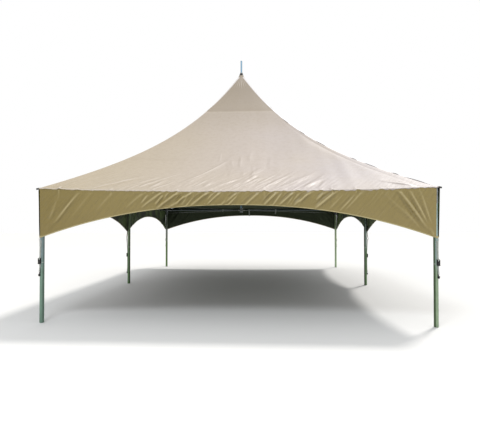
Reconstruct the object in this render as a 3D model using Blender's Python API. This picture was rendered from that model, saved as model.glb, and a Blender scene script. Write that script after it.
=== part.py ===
"""Marquee tent: a single peak frame tent on six legs, with a scalloped valance and a mast hung on cross cables.

Metres, +Z up. The origin is on the ground, under the middle of the plan. +Y runs along the longer side,
and the end that faces -Y is the front.
"""

import math

import bmesh
import bpy
from mathutils import Matrix, Vector

# Plan and heights
PLAN_WIDTH = 6.096  # between leg centres across the front, 20 ft
PLAN_LENGTH = 9.144  # between the corner leg centres along the side, 30 ft in two bays
RAIL_HEIGHT = 2.0475  # centre of the eave rails
CORNER_EAVE_HEIGHT = 2.115  # roof edge at the four corners
CROWN_HEIGHT = 5.400  # where the roof ends in a round hole under the mast cap
MAST_TIP_HEIGHT = 5.785
MAST_SHIFT = -0.110  # the hung mast stands this far left of the middle

# Tubes
LEG_RADIUS = 0.035
RAIL_RADIUS = 0.030
MAST_RADIUS = 0.0254
TIP_RADIUS = 0.0215
TIP_ROUNDING = 0.010  # the height over which the tip is rounded off
CABLE_RADIUS = 0.004
SIDES = 16  # of every round piece that fits another
CABLE_SIDES = 8

# Cover
FABRIC_OFFSET = 0.045  # outer face of the valance beyond the leg centres
ROOF_THICKNESS = 0.004  # measured upright
VALANCE_THICKNESS = 0.003
CROWN_RADIUS = 0.050
ROOF_COLUMNS = 14
ROOF_ROWS = 12
END_ARCH_STEPS = 24
SIDE_ARCH_STEPS = 16
EAVE_PITCH = math.radians(18.6)  # slope of the hips where they start
CROWN_PITCH = math.radians(46.0)  # and where they end
VALANCE_LOW_HEIGHT = 1.350  # at the legs
END_ARCH_HEIGHT = 1.845  # top of the arch across each end
SIDE_ARCH_HEIGHT = 1.765  # top of the two arches on each side
ARCH_POWER = 2.2
TAB_HALF_WIDTH = 0.030  # the valance runs level this far either side of a leg centre
VALANCE_END = 0.020  # it stops this far beyond a corner leg centre

# Fittings
FITTING_WALL = 0.0045
SLEEVE_LENGTH = 0.180  # from the leg centre to the open end of each sleeve
SOCKET_START = 0.036  # a tube's end to the centre of its fitting
LUG_THICKNESS = 0.008
LUG_HEIGHT = 0.050
LUG_REACH = 0.075
CORNER_LUG_DROP = 0.110  # below the rail centre
MAST_FOOT_HEIGHT = 1.840
MAST_SOCKET_RADIUS = 0.040
MAST_SOCKET_FLOOR = 0.030
MAST_SOCKET_DEPTH = 0.090
MAST_SOCKET_BEVEL = 0.010  # round the foot's lower edge
MAST_LUG_RISE = 0.060  # from the bottom of the foot to the middle of its lugs
CAP_RADIUS = 0.052
CAP_HEIGHT = 0.066
CAP_FLANGE = 0.012  # the height of its wide foot
CAP_NECK_RADIUS = 0.044
CAP_TOP_RADIUS = 0.034
SWAGE_RADIUS = 0.009
SWAGE_LENGTH = 0.080
SWAGE_TAPER = 0.012
DOME_STEPS = 4
DOME_TOP = math.radians(76)
CUTTER_OVERRUN = 0.010  # how far a cutting shape runs out of an open end

# Hold-down on each leg, as heights of its ring, ratchet top, hook top and staple top
CORNER_HOLD_DOWN = (1.325, 1.028, 0.815, 0.762)
MIDDLE_HOLD_DOWN = (1.190, 0.805, 0.353, 0.300)
RING_RADIUS = 0.025
WIRE_RADIUS = 0.003
WEBBING_WIDTH = 0.038
WEBBING_THICKNESS = 0.003
RING_TAB_LAP = 0.020  # how far the ring's tab runs up behind the valance
RING_TAB_WIDTH = 0.030
RATCHET_HEIGHT = 0.103
RATCHET_WIDTH = 0.050
RATCHET_DEPTH = 0.028
PLATE_THICKNESS = 0.003
CHEEK_RISE = 0.012  # from the bottom of the ratchet to the cheeks
CHEEK_DROP = 0.008  # from its top to the cheeks
SPOOL_RADIUS = 0.0065
SPOOL_DROP = 0.028
SPOOL_OVERHANG = 0.002
HANDLE_WIDTH = 0.045
HANDLE_RISE = 0.002
HANDLE_DROP = 0.014
HOOK_WIDTH = 0.032
HOOK_DEPTH = 0.007
STRAP_LAP = 0.010  # how far a strap runs into the ring, hook or ratchet that it is sewn to
STAPLE_HEIGHT = 0.022
STAPLE_WIDTH = 0.040
STAPLE_DEPTH = 0.014

# Plain tones, as linear values
ROOF_TAN = (0.62, 0.54, 0.46)
VALANCE_OLIVE = (0.28, 0.22, 0.10)
TUBE_GREY = (0.42, 0.47, 0.51)
CASTING_GREY = (0.38, 0.40, 0.42)
WIRE_GREY = (0.35, 0.36, 0.37)
RUBBER_BLACK = (0.05, 0.05, 0.05)
WEBBING_WHITE = (0.55, 0.55, 0.48)
BLACK_STEEL = (0.06, 0.06, 0.055)

GAP = 0.0003  # left between pieces that touch

HALF_WIDTH = PLAN_WIDTH / 2
HALF_LENGTH = PLAN_LENGTH / 2
EDGE_X = HALF_WIDTH + FABRIC_OFFSET
EDGE_Y = HALF_LENGTH + FABRIC_OFFSET
HIP_RUN = math.hypot(EDGE_X, EDGE_Y) - CROWN_RADIUS
EAVE_CLIMB = math.tan(EAVE_PITCH) * HIP_RUN
CROWN_CLIMB = math.tan(CROWN_PITCH) * HIP_RUN
MAST_AXIS = Vector((MAST_SHIFT, 0, 0))
MAST_LUG_HEIGHT = MAST_FOOT_HEIGHT + MAST_LUG_RISE
CORNER_LUG_HEIGHT = RAIL_HEIGHT - CORNER_LUG_DROP
CORNERS = {
    "front_left": (-1, -1),
    "front_right": (1, -1),
    "back_left": (-1, 1),
    "back_right": (1, 1),
}
MIDDLES = {"middle_left": (-1, 0), "middle_right": (1, 0)}


def clear_scene():
    for old in list(bpy.data.objects):
        bpy.data.objects.remove(old)


def finish(name, colour, roughness, metallic=0.0):
    """A plain Principled material."""
    material = bpy.data.materials.new(name)
    material.use_nodes = True
    shader = material.node_tree.nodes["Principled BSDF"]
    shader.inputs["Base Color"].default_value = (*colour, 1.0)
    shader.inputs["Roughness"].default_value = roughness
    shader.inputs["Metallic"].default_value = metallic
    return material


def place(name, mesh, colour, roughness, metallic=0.0, location=(0, 0, 0), turn=0.0):
    """One named sub-part with a material of its own."""
    piece = bpy.data.objects.new(name, mesh)
    bpy.context.scene.collection.objects.link(piece)
    piece.location = location
    piece.rotation_euler = (0, 0, turn)
    mesh.materials.clear()
    mesh.materials.append(finish(name, colour, roughness, metallic))
    return piece


def mesh_of(shape, name="shape", smooth=True):
    """Closes a bmesh into a mesh with outward faces, shaded smooth between sharp edges."""
    bmesh.ops.recalc_face_normals(shape, faces=shape.faces)
    mesh = bpy.data.meshes.new(name)
    shape.to_mesh(mesh)
    shape.free()
    if smooth:
        mesh.shade_smooth()
        mesh.set_sharp_from_angle(angle=math.radians(35))
    return mesh


def turned(profile, along="Z", centre=(0, 0, 0), closed=False, sides=SIDES):
    """Turns (distance, radius) points round an axis. A closed profile makes a ring, any other gets flat ends."""
    shape = bmesh.new()
    rings = []
    for distance, radius in profile:
        ring = []
        for step in range(sides):
            angle = 2 * math.pi * (step + 0.5) / sides
            ring.append(shape.verts.new((radius * math.cos(angle), radius * math.sin(angle), distance)))
        rings.append(ring)
    pairs = list(zip(rings, rings[1:]))
    if closed:
        pairs.append((rings[-1], rings[0]))
    for low, high in pairs:
        for step in range(sides):
            after = (step + 1) % sides
            shape.faces.new((low[step], low[after], high[after], high[step]))
    if not closed:
        shape.faces.new(rings[0])
        shape.faces.new(rings[-1])
    quarter = math.pi / 2
    turn = {"X": Matrix.Rotation(quarter, 4, "Y"), "Y": Matrix.Rotation(-quarter, 4, "X"), "Z": Matrix()}[along]
    shape.transform(Matrix.Translation(centre) @ turn)
    return mesh_of(shape)


def bar(radius, start, end, along="Z", centre=(0, 0, 0)):
    return turned([(start, radius), (end, radius)], along, centre)


def block(low, high):
    """A box between two corners."""
    shape = bmesh.new()
    size = [b - a for a, b in zip(low, high)]
    middle = [(a + b) / 2 for a, b in zip(low, high)]
    bmesh.ops.create_cube(shape, size=1.0, matrix=Matrix.Translation(middle) @ Matrix.Diagonal((*size, 1)))
    return mesh_of(shape, smooth=False)


def combined(first, others, operation):
    """The first solid joined with the others, or cut by them, as one mesh."""
    scene_objects = bpy.context.scene.collection.objects
    body = bpy.data.objects.new("body", first)
    scene_objects.link(body)
    helpers = []
    for mesh in others:
        helper = bpy.data.objects.new("helper", mesh)
        scene_objects.link(helper)
        helpers.append(helper)
        step = body.modifiers.new("combine", "BOOLEAN")
        step.operation = operation
        step.solver = "EXACT"
        step.object = helper
    graph = bpy.context.evaluated_depsgraph_get()
    result = bpy.data.meshes.new_from_object(body.evaluated_get(graph))
    for used in [body, *helpers]:
        bpy.data.objects.remove(used)
    result.shade_smooth()
    result.set_sharp_from_angle(angle=math.radians(35))
    return result


def lug(direction, height):
    """An upright plate that reaches out of a fitting along a level direction, for a cable's end."""
    plate = block((0, -LUG_THICKNESS / 2, -LUG_HEIGHT / 2), (LUG_REACH, LUG_THICKNESS / 2, LUG_HEIGHT / 2))
    heading = math.atan2(direction.y, direction.x)
    plate.transform(Matrix.Translation((0, 0, height)) @ Matrix.Rotation(heading, 4, "Z"))
    return plate


def leg_place(sides):
    return Vector((sides[0] * HALF_WIDTH, sides[1] * HALF_LENGTH, 0))


def hold_down_heights(name):
    return CORNER_HOLD_DOWN if name in CORNERS else MIDDLE_HOLD_DOWN


def hold_down_turn(sides):
    """A side leg's hold-down faces straight out, and a corner leg's faces out through the slit in the valance."""
    return math.atan2(sides[1], sides[0])


# Cover

def seat_on_round(radius, pitch_run):
    """Height of a roof edge whose underside just clears a rail or sleeve of this radius."""
    slope = EAVE_CLIMB / pitch_run
    clear = (radius + GAP) * math.hypot(1, slope)
    return RAIL_HEIGHT + clear + ROOF_THICKNESS - slope * FABRIC_OFFSET


def edge_middle_height(side):
    if side in ("front", "back"):
        return seat_on_round(RAIL_RADIUS, EDGE_Y - CROWN_RADIUS)
    return seat_on_round(RAIL_RADIUS + FITTING_WALL, EDGE_X - CROWN_RADIUS)


def eave_height(side, across):
    """The roof edge rests on the rail in the middle, and rises over the fittings at the corners."""
    middle = edge_middle_height(side)
    return middle + (CORNER_EAVE_HEIGHT - middle) * across**2


def climb(share, rise):
    """Height gained along the roof: a taut curve with set slopes at the eave and at the crown."""
    square = share**2
    cube = share**3
    return (
        rise * (3 * square - 2 * cube)
        + EAVE_CLIMB * (share - 2 * square + cube)
        + CROWN_CLIMB * (cube - square)
    )


def edge_point(side, across):
    """A point of the roof's plan outline, with across from -1 to 1 along one side."""
    return {
        "front": Vector((across * EDGE_X, -EDGE_Y, 0)),
        "back": Vector((across * EDGE_X, EDGE_Y, 0)),
        "left": Vector((-EDGE_X, across * EDGE_Y, 0)),
        "right": Vector((EDGE_X, across * EDGE_Y, 0)),
    }[side]


def roof_point(side, across, share):
    edge = edge_point(side, across)
    crown = MAST_AXIS + edge.normalized() * CROWN_RADIUS
    point = edge.lerp(crown, share)
    eave = eave_height(side, across)
    point.z = eave + climb(share, CROWN_HEIGHT - eave)
    if abs(across) == 1:
        # A seam edge stands back from the hip by half a gap.
        along_hip = (crown - edge).normalized()
        inward = Vector((-along_hip.y, along_hip.x, 0))
        if inward.dot(edge_point(side, 0) - edge) < 0:
            inward.negate()
        point += inward * GAP / 2
    return point


def roof_gore(side):
    """One of the four roof panels between hips, as a thin closed sheet."""
    columns, rows = ROOF_COLUMNS, ROOF_ROWS
    shape = bmesh.new()
    layers = []
    for drop in (0, ROOF_THICKNESS):
        grid = []
        for row in range(rows + 1):
            share = row / rows
            line = []
            for column in range(columns + 1):
                point = roof_point(side, 2 * column / columns - 1, share)
                line.append(shape.verts.new(point - Vector((0, 0, drop))))
            grid.append(line)
        layers.append(grid)
    for grid in layers:
        for low, high in zip(grid, grid[1:]):
            for column in range(columns):
                shape.faces.new((low[column], low[column + 1], high[column + 1], high[column]))
    top, under = layers
    for row in (0, rows):
        for column in range(columns):
            shape.faces.new((top[row][column], top[row][column + 1], under[row][column + 1], under[row][column]))
    for column in (0, columns):
        for row in range(rows):
            shape.faces.new((top[row][column], top[row + 1][column], under[row + 1][column], under[row][column]))
    return mesh_of(shape, side)


def arch_height(offset, half_opening, top):
    """Lower edge of the valance at this distance from the middle of an opening."""
    reach = min(1.0, abs(offset) / half_opening)
    return top - (top - VALANCE_LOW_HEIGHT) * reach**ARCH_POWER


def valance_stations(side):
    """Places along the side, and the lower edge's height there."""
    if side in ("front", "back"):
        half_opening = HALF_WIDTH - TAB_HALF_WIDTH
        places = [half_opening * (2 * step / END_ARCH_STEPS - 1) for step in range(END_ARCH_STEPS + 1)]
        ends = HALF_WIDTH + VALANCE_END
        places = [-ends, *places, ends]
        return [(x, arch_height(x, half_opening, END_ARCH_HEIGHT)) for x in places]
    bay = HALF_LENGTH / 2
    half_opening = bay - TAB_HALF_WIDTH
    stations = []
    for centre in (-bay, bay):
        for step in range(SIDE_ARCH_STEPS + 1):
            offset = half_opening * (2 * step / SIDE_ARCH_STEPS - 1)
            stations.append((centre + offset, arch_height(offset, half_opening, SIDE_ARCH_HEIGHT)))
    end = HALF_LENGTH + VALANCE_END
    return [(-end, VALANCE_LOW_HEIGHT), *stations, (end, VALANCE_LOW_HEIGHT)]


def valance(side):
    """The upright skirt that hangs from one side of the roof, cut in arches between the legs."""
    full = EDGE_X if side in ("front", "back") else EDGE_Y
    inward = -edge_point(side, 0).normalized() * VALANCE_THICKNESS
    shape = bmesh.new()
    columns = []
    for place_along, low in valance_stations(side):
        across = place_along / full
        high = eave_height(side, across) - ROOF_THICKNESS - GAP
        outer = edge_point(side, across)
        column = []
        for depth, height in ((0, low), (0, high), (1, high), (1, low)):
            point = outer + inward * depth
            point.z = height
            column.append(shape.verts.new(point))
        columns.append(column)
    for near, far in zip(columns, columns[1:]):
        for step in range(4):
            after = (step + 1) % 4
            shape.faces.new((near[step], near[after], far[after], far[step]))
    shape.faces.new(columns[0])
    shape.faces.new(columns[-1])
    return mesh_of(shape, side)


def build_cover():
    for side in ("front", "back", "left", "right"):
        place("roof_" + side, roof_gore(side), ROOF_TAN, 0.45)
        place("valance_" + side, valance(side), VALANCE_OLIVE, 0.5)


# Mast

def build_mast():
    """A pole that hangs on the cross cables, carries the roof's crown on a shoulder and ends in a slim tip."""
    foot = MAST_FOOT_HEIGHT + MAST_SOCKET_FLOOR + GAP
    profile = [
        (foot, MAST_RADIUS),
        (CROWN_HEIGHT, MAST_RADIUS),
        (CROWN_HEIGHT, TIP_RADIUS),
        (MAST_TIP_HEIGHT - TIP_ROUNDING, TIP_RADIUS),
        (MAST_TIP_HEIGHT - TIP_ROUNDING * 0.3, TIP_RADIUS * 0.8),
        (MAST_TIP_HEIGHT, TIP_RADIUS * 0.4),
    ]
    place("mast", turned(profile), TUBE_GREY, 0.4, 0.9, MAST_AXIS)

    bottom = CROWN_HEIGHT + GAP
    top = CROWN_HEIGHT + CAP_HEIGHT
    bore = TIP_RADIUS + GAP
    cap_profile = [
        (bottom, CAP_RADIUS),
        (bottom + CAP_FLANGE, CAP_RADIUS),
        (bottom + 2 * CAP_FLANGE, CAP_NECK_RADIUS),
        (top, CAP_TOP_RADIUS),
        (top, bore),
        (bottom, bore),
    ]
    place("mast_cap", turned(cap_profile, closed=True), RUBBER_BLACK, 0.5, 0.0, MAST_AXIS)

    socket_top = MAST_FOOT_HEIGHT + MAST_SOCKET_FLOOR + MAST_SOCKET_DEPTH
    body = turned(
        [
            (MAST_FOOT_HEIGHT, MAST_SOCKET_RADIUS - MAST_SOCKET_BEVEL),
            (MAST_FOOT_HEIGHT + MAST_SOCKET_BEVEL, MAST_SOCKET_RADIUS),
            (socket_top, MAST_SOCKET_RADIUS),
        ]
    )
    lugs = []
    for corner in CORNERS.values():
        lugs.append(lug(leg_place(corner) - MAST_AXIS, MAST_LUG_HEIGHT))
    body = combined(body, lugs, "UNION")
    socket = bar(MAST_RADIUS + GAP, MAST_FOOT_HEIGHT + MAST_SOCKET_FLOOR, socket_top + CUTTER_OVERRUN)
    place("mast_foot", combined(body, [socket], "DIFFERENCE"), CASTING_GREY, 0.45, 0.9, MAST_AXIS)


def cross_cable(corner):
    """A taut wire rope with a swaged sleeve at each end, from a corner's lug to the mast foot's lug."""
    heading = (MAST_AXIS - leg_place(corner)).normalized()
    start = leg_place(corner) + heading * (LUG_REACH + GAP)
    start.z = CORNER_LUG_HEIGHT
    end = MAST_AXIS - heading * (LUG_REACH + GAP)
    end.z = MAST_LUG_HEIGHT
    run = end - start
    length = run.length
    neck = SWAGE_LENGTH + SWAGE_TAPER
    profile = [
        (0, SWAGE_RADIUS),
        (SWAGE_LENGTH, SWAGE_RADIUS),
        (neck, CABLE_RADIUS),
        (length - neck, CABLE_RADIUS),
        (length - SWAGE_LENGTH, SWAGE_RADIUS),
        (length, SWAGE_RADIUS),
    ]
    cable = turned(profile, sides=CABLE_SIDES)
    cable.transform(Matrix.Translation(start) @ run.to_track_quat("Z", "Y").to_matrix().to_4x4())
    return cable


# Frame

def corner_dome_centre():
    """Height of the ball on a corner fitting that just clears both roof panels above it."""
    heights = []
    for edge in (EDGE_X, EDGE_Y):
        slope = EAVE_CLIMB / edge
        underside = CORNER_EAVE_HEIGHT + slope * FABRIC_OFFSET - ROOF_THICKNESS
        heights.append(underside - (LEG_RADIUS + FITTING_WALL + GAP) * math.hypot(1, slope))
    return min(heights)


def fitting(sides):
    """A cast fitting that takes a leg from below and the rails from the side, round the leg's centre."""
    wall = FITTING_WALL
    leg_outer = LEG_RADIUS + wall
    rail_outer = RAIL_RADIUS + wall
    sleeve_foot = RAIL_HEIGHT - SLEEVE_LENGTH
    height = (0, 0, RAIL_HEIGHT)
    is_corner = sides[1] != 0
    if is_corner:
        centre = corner_dome_centre()
        profile = [(sleeve_foot, leg_outer)]
        for step in range(DOME_STEPS + 1):
            angle = DOME_TOP * step / DOME_STEPS
            profile.append((centre + leg_outer * math.sin(angle), leg_outer * math.cos(angle)))
        post = turned(profile)
        arms = [
            bar(rail_outer, *sorted((0, -sides[0] * SLEEVE_LENGTH)), "X", height),
            bar(rail_outer, *sorted((0, -sides[1] * SLEEVE_LENGTH)), "Y", height),
        ]
        arms.append(lug(MAST_AXIS - leg_place(sides), CORNER_LUG_HEIGHT))
        rails = [("X", -sides[0]), ("Y", -sides[1])]
    else:
        post = bar(leg_outer, sleeve_foot, RAIL_HEIGHT)
        arms = [bar(rail_outer, -SLEEVE_LENGTH, SLEEVE_LENGTH, "Y", height)]
        rails = [("Y", -1), ("Y", 1)]
    body = combined(post, arms, "UNION")
    beyond = SLEEVE_LENGTH + CUTTER_OVERRUN
    sockets = [bar(LEG_RADIUS + GAP, sleeve_foot - CUTTER_OVERRUN, RAIL_HEIGHT - SOCKET_START + GAP)]
    for along, sign in rails:
        sockets.append(bar(RAIL_RADIUS + GAP, *sorted((sign * SOCKET_START, sign * beyond)), along, height))
    return combined(body, sockets, "DIFFERENCE")


def leg(turn, staple_top):
    """A round tube with a welded staple on the side of its hold-down, for the hook."""
    tube = bar(LEG_RADIUS, 0, RAIL_HEIGHT - SOCKET_START)
    half = STAPLE_WIDTH / 2
    staple_low = staple_top - STAPLE_HEIGHT
    staple = block((LEG_RADIUS * 0.8, -half, staple_low), (LEG_RADIUS + STAPLE_DEPTH, half, staple_top))
    staple.transform(Matrix.Rotation(turn, 4, "Z"))
    return combined(tube, [staple], "UNION")


def build_frame():
    start = SOCKET_START + GAP
    long_rail = PLAN_WIDTH - 2 * start
    for name, sign in (("front", -1), ("back", 1)):
        rail = bar(RAIL_RADIUS, -long_rail / 2, long_rail / 2, "X")
        place("rail_" + name, rail, TUBE_GREY, 0.4, 0.9, (0, sign * HALF_LENGTH, RAIL_HEIGHT))
    bay_rail = HALF_LENGTH - 2 * start
    for side, sign_x in (("left", -1), ("right", 1)):
        for bay, sign_y in (("front", -1), ("back", 1)):
            rail = bar(RAIL_RADIUS, -bay_rail / 2, bay_rail / 2, "Y")
            centre = (sign_x * HALF_WIDTH, sign_y * HALF_LENGTH / 2, RAIL_HEIGHT)
            place("rail_" + side + "_" + bay, rail, TUBE_GREY, 0.4, 0.9, centre)
    for name, sides in {**CORNERS, **MIDDLES}.items():
        centre = leg_place(sides)
        kind = "corner_fitting_" if name in CORNERS else "tee_fitting_"
        staple_top = hold_down_heights(name)[-1]
        place(kind + name, fitting(sides), CASTING_GREY, 0.45, 0.9, centre)
        place("leg_" + name, leg(hold_down_turn(sides), staple_top), TUBE_GREY, 0.4, 0.9, centre)
    for name, corner in CORNERS.items():
        place("cross_cable_" + name, cross_cable(corner), WIRE_GREY, 0.4, 0.9)


# Hold-downs, shaped round a leg's axis with +X pointing out of the tent

def hold_down_strap(ring_height, ratchet_top):
    """Webbing down the leg's outer face from a ring, and the tab that the ring hangs from behind the valance."""
    face = LEG_RADIUS + GAP
    half = WEBBING_WIDTH / 2
    valance_inner = FABRIC_OFFSET - VALANCE_THICKNESS - GAP
    ring_x = valance_inner - WIRE_RADIUS
    circle = []
    for step in range(8):
        angle = 2 * math.pi * step / 8
        circle.append((WIRE_RADIUS * math.cos(angle), RING_RADIUS + WIRE_RADIUS * math.sin(angle)))
    ring = turned(circle, "X", (ring_x, 0, ring_height), closed=True)
    webbing_top = ring_height - RING_RADIUS + STRAP_LAP
    webbing = block((face, -half, ratchet_top + GAP), (face + WEBBING_THICKNESS, half, webbing_top))
    tab_low = ring_height + RING_RADIUS - STRAP_LAP
    tab_inner = valance_inner - WEBBING_THICKNESS
    tab_half = RING_TAB_WIDTH / 2
    tab = block((tab_inner, -tab_half, tab_low), (valance_inner, tab_half, VALANCE_LOW_HEIGHT + RING_TAB_LAP))
    return combined(ring, [webbing, tab], "UNION")


def ratchet(ratchet_top, hook_top, staple_top):
    """A ratchet with two cheeks, a spool and a folded handle, on a strap that hooks on the leg's staple."""
    face = LEG_RADIUS + GAP
    outer = face + RATCHET_DEPTH
    half = RATCHET_WIDTH / 2
    bottom = ratchet_top - RATCHET_HEIGHT
    base = block((face, -half, bottom), (face + PLATE_THICKNESS, half, ratchet_top))
    others = []
    for y in (-half, half - PLATE_THICKNESS):
        cheek_inner = (face + PLATE_THICKNESS / 2, y, bottom + CHEEK_RISE)
        cheek_outer = (outer - PLATE_THICKNESS, y + PLATE_THICKNESS, ratchet_top - CHEEK_DROP)
        others.append(block(cheek_inner, cheek_outer))
    spool_place = (face + RATCHET_DEPTH / 2, 0, ratchet_top - SPOOL_DROP)
    others.append(bar(SPOOL_RADIUS, -half - SPOOL_OVERHANG, half + SPOOL_OVERHANG, "Y", spool_place))
    handle_inner = (outer - 1.5 * PLATE_THICKNESS, -HANDLE_WIDTH / 2, bottom + HANDLE_RISE)
    others.append(block(handle_inner, (outer, HANDLE_WIDTH / 2, ratchet_top - HANDLE_DROP)))
    strap_half = WEBBING_WIDTH / 2
    strap_inner = face + GAP
    strap_outer = strap_inner + WEBBING_THICKNESS
    strap_low = hook_top - STRAP_LAP
    others.append(block((strap_inner, -strap_half, strap_low), (strap_outer, strap_half, bottom + STRAP_LAP)))
    hook_half = HOOK_WIDTH / 2
    others.append(block((face, -hook_half, staple_top + GAP), (face + HOOK_DEPTH, hook_half, hook_top)))
    return combined(base, others, "UNION")


def build_hold_downs():
    for name, sides in {**CORNERS, **MIDDLES}.items():
        centre = leg_place(sides)
        turn = hold_down_turn(sides)
        ring_height, *ratchet_heights = hold_down_heights(name)
        strap = hold_down_strap(ring_height, ratchet_heights[0])
        place("strap_" + name, strap, WEBBING_WHITE, 0.8, 0.0, centre, turn)
        place("ratchet_" + name, ratchet(*ratchet_heights), BLACK_STEEL, 0.5, 0.6, centre, turn)


clear_scene()
build_cover()
build_mast()
build_frame()
build_hold_downs()
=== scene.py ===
"""The looks of the marquee tent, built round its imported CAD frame.

Metres, +Z up, in the CAD model's own frame: the origin is on the ground under the middle of the plan,
and the end that faces -Y is the front.
"""

import math

import bmesh
import bpy
import numpy as np
from mathutils import Matrix, Vector


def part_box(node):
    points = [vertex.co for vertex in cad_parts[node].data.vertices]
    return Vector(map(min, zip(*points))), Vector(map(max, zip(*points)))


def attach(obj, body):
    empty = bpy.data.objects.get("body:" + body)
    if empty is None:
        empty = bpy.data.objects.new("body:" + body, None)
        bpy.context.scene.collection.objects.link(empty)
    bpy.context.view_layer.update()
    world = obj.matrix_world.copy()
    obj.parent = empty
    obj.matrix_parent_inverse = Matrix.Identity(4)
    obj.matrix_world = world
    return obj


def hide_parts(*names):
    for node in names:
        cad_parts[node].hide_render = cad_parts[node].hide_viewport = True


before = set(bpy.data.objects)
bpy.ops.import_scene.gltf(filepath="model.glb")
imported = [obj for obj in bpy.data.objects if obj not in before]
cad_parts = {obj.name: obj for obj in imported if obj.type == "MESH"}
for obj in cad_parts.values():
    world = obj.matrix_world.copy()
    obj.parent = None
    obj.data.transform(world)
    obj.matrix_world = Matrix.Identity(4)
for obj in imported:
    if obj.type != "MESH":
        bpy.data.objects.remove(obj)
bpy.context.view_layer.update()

# Studio
# A plain pale floor in a white room. One wide soft light stands high behind the right of the tent, where the sun
# stood, a large lower panel on the same side gives the cover its sheen, and a second one high on the left of the
# camera shows the folds. The camera is at eye height.

FLOOR_REACH = 60.0
FLOOR_DROP = 0.002
ROOM_LIGHT = 1.0
SUN_STRENGTH = 2.4
SUN_COLOUR = (1.0, 0.97, 0.93)
SUN_DIRECTION = Vector((0.42, 0.55, 1.0))  # from the tent towards the light
SUN_SPREAD = math.radians(9)
PANEL_COLOUR = (0.92, 0.96, 1.0)
PANELS = {  # place, aim, size and power
    "sheen_panel": (Vector((9.5, 15.0, 11.0)), Vector((0.6, -1.5, 2.8)), 12.0, 130.0),
    "fold_panel": (Vector((-2.0, -13.0, 12.5)), Vector((0.0, -4.6, 1.9)), 3.5, 780.0),
}
CAMERA_PLACE = (0.4253, -11.4218, 1.5598)
CAMERA_TURN = (math.radians(90.975), 0.0, math.radians(2.861))
CAMERA_LENS = 33.225
SENSOR_WIDTH = 36.0


def linear(hex_colour):
    """An sRGB hex colour as linear red, green, blue and alpha."""
    channels = [int(hex_colour[start : start + 2], 16) / 255 for start in (1, 3, 5)]
    return (*[c / 12.92 if c <= 0.04045 else ((c + 0.055) / 1.055) ** 2.4 for c in channels], 1.0)


def empty_material(name):
    material = bpy.data.materials.new(name)
    material.use_nodes = True
    material.node_tree.nodes.clear()
    return material


def add_node(material, kind, inputs=None, output=0, **settings):
    """Adds one shader node and gives back one of its outputs. An input is a value or another node's output."""
    tree = material.node_tree
    node = tree.nodes.new("ShaderNode" + kind)
    for name, value in settings.items():
        setattr(node, name, value)
    for name, value in (inputs or {}).items():
        if isinstance(value, bpy.types.NodeSocket):
            tree.links.new(value, node.inputs[name])
        else:
            node.inputs[name].default_value = value
    return node.outputs[output] if node.outputs else None


def give_skin(material, inputs, bump=None):
    """Ends a material with its surface, which has these settings. A bump is a pattern, its strength and its depth in
    metres."""
    if bump:
        height, strength, depth = bump
        inputs["Normal"] = add_node(material, "Bump", {"Height": height, "Strength": strength, "Distance": depth})
    add_node(material, "OutputMaterial", {"Surface": add_node(material, "BsdfPrincipled", inputs)})


def link_object(name, data):
    made = bpy.data.objects.new(name, data)
    bpy.context.scene.collection.objects.link(made)
    return made


# Matt studio paint: pale and even, with no gloss that would mirror the tent.
matt_paint = empty_material("matt_white_studio_paint")
give_skin(matt_paint, {"Base Color": linear("#CFCFCE"), "Roughness": 0.9, "Specular IOR Level": 0.1})

floor_mesh = bpy.data.meshes.new("floor")
floor_corners = [(x * FLOOR_REACH, y * FLOOR_REACH, 0) for x, y in ((-1, -1), (1, -1), (1, 1), (-1, 1))]
floor_mesh.from_pydata(floor_corners, [], [(0, 1, 2, 3)])
floor_mesh.materials.append(matt_paint)
floor = link_object("floor", floor_mesh)
floor.location.z = -FLOOR_DROP

room = bpy.data.worlds.new("white_room")
room.use_nodes = True
room.node_tree.nodes["Background"].inputs["Color"].default_value = (1, 1, 1, 1)
room.node_tree.nodes["Background"].inputs["Strength"].default_value = ROOM_LIGHT
bpy.context.scene.world = room
bpy.context.scene.view_settings.view_transform = "Standard"

sun = link_object("soft_sun", bpy.data.lights.new("soft_sun", "SUN"))
sun.data.energy = SUN_STRENGTH
sun.data.angle = SUN_SPREAD
sun.data.color = SUN_COLOUR
sun.rotation_euler = SUN_DIRECTION.to_track_quat("Z", "Y").to_euler()

for name, (place, aim, size, power) in PANELS.items():
    panel = link_object(name, bpy.data.lights.new(name, "AREA"))
    panel.data.energy = power
    panel.data.size = size
    panel.data.color = PANEL_COLOUR
    panel.location = place
    panel.rotation_euler = (place - aim).to_track_quat("Z", "Y").to_euler()

camera = link_object("camera", bpy.data.cameras.new("camera"))
camera.data.lens = CAMERA_LENS
camera.data.sensor_width = SENSOR_WIDTH
camera.location = CAMERA_PLACE
camera.rotation_euler = CAMERA_TURN
bpy.context.scene.camera = camera

# Legs
# Six round aluminium tubes, 70 mm across, each in two lengths that meet under a slim bright collar. A flat bar bent
# to a staple is welded on for the hold-down's hook, straight out on the side legs and out through the corner on the
# others. The tube is mill finished and has gone dull.

HALF_WIDTH = 3.048
HALF_LENGTH = 4.572
LEG_RADIUS = 0.035
LEG_WALL = 0.003
LEG_TOP = 2.0115
TUBE_BEVEL = 0.0012
COLLAR_HEIGHT = 0.950
COLLAR_HALF = 0.004
COLLAR_PROUD = 0.0008
STAPLE_HEIGHTS = {"corner": 0.751, "middle": 0.289}
STAPLE_BAR = (0.020, 0.003)
STAPLE_REACH = 0.0455
STAPLE_HALF_WIDTH = 0.018
STAPLE_BEND = 0.007
WELD_DEPTH = 0.004  # how far the staple's feet run into the tube
LEG_PLACES = {
    "front_left": (-1, -1),
    "front_right": (1, -1),
    "back_left": (-1, 1),
    "back_right": (1, 1),
    "middle_left": (-1, 0),
    "middle_right": (1, 0),
}
CORNERS = {name: place for name, place in LEG_PLACES.items() if place[1]}


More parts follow.
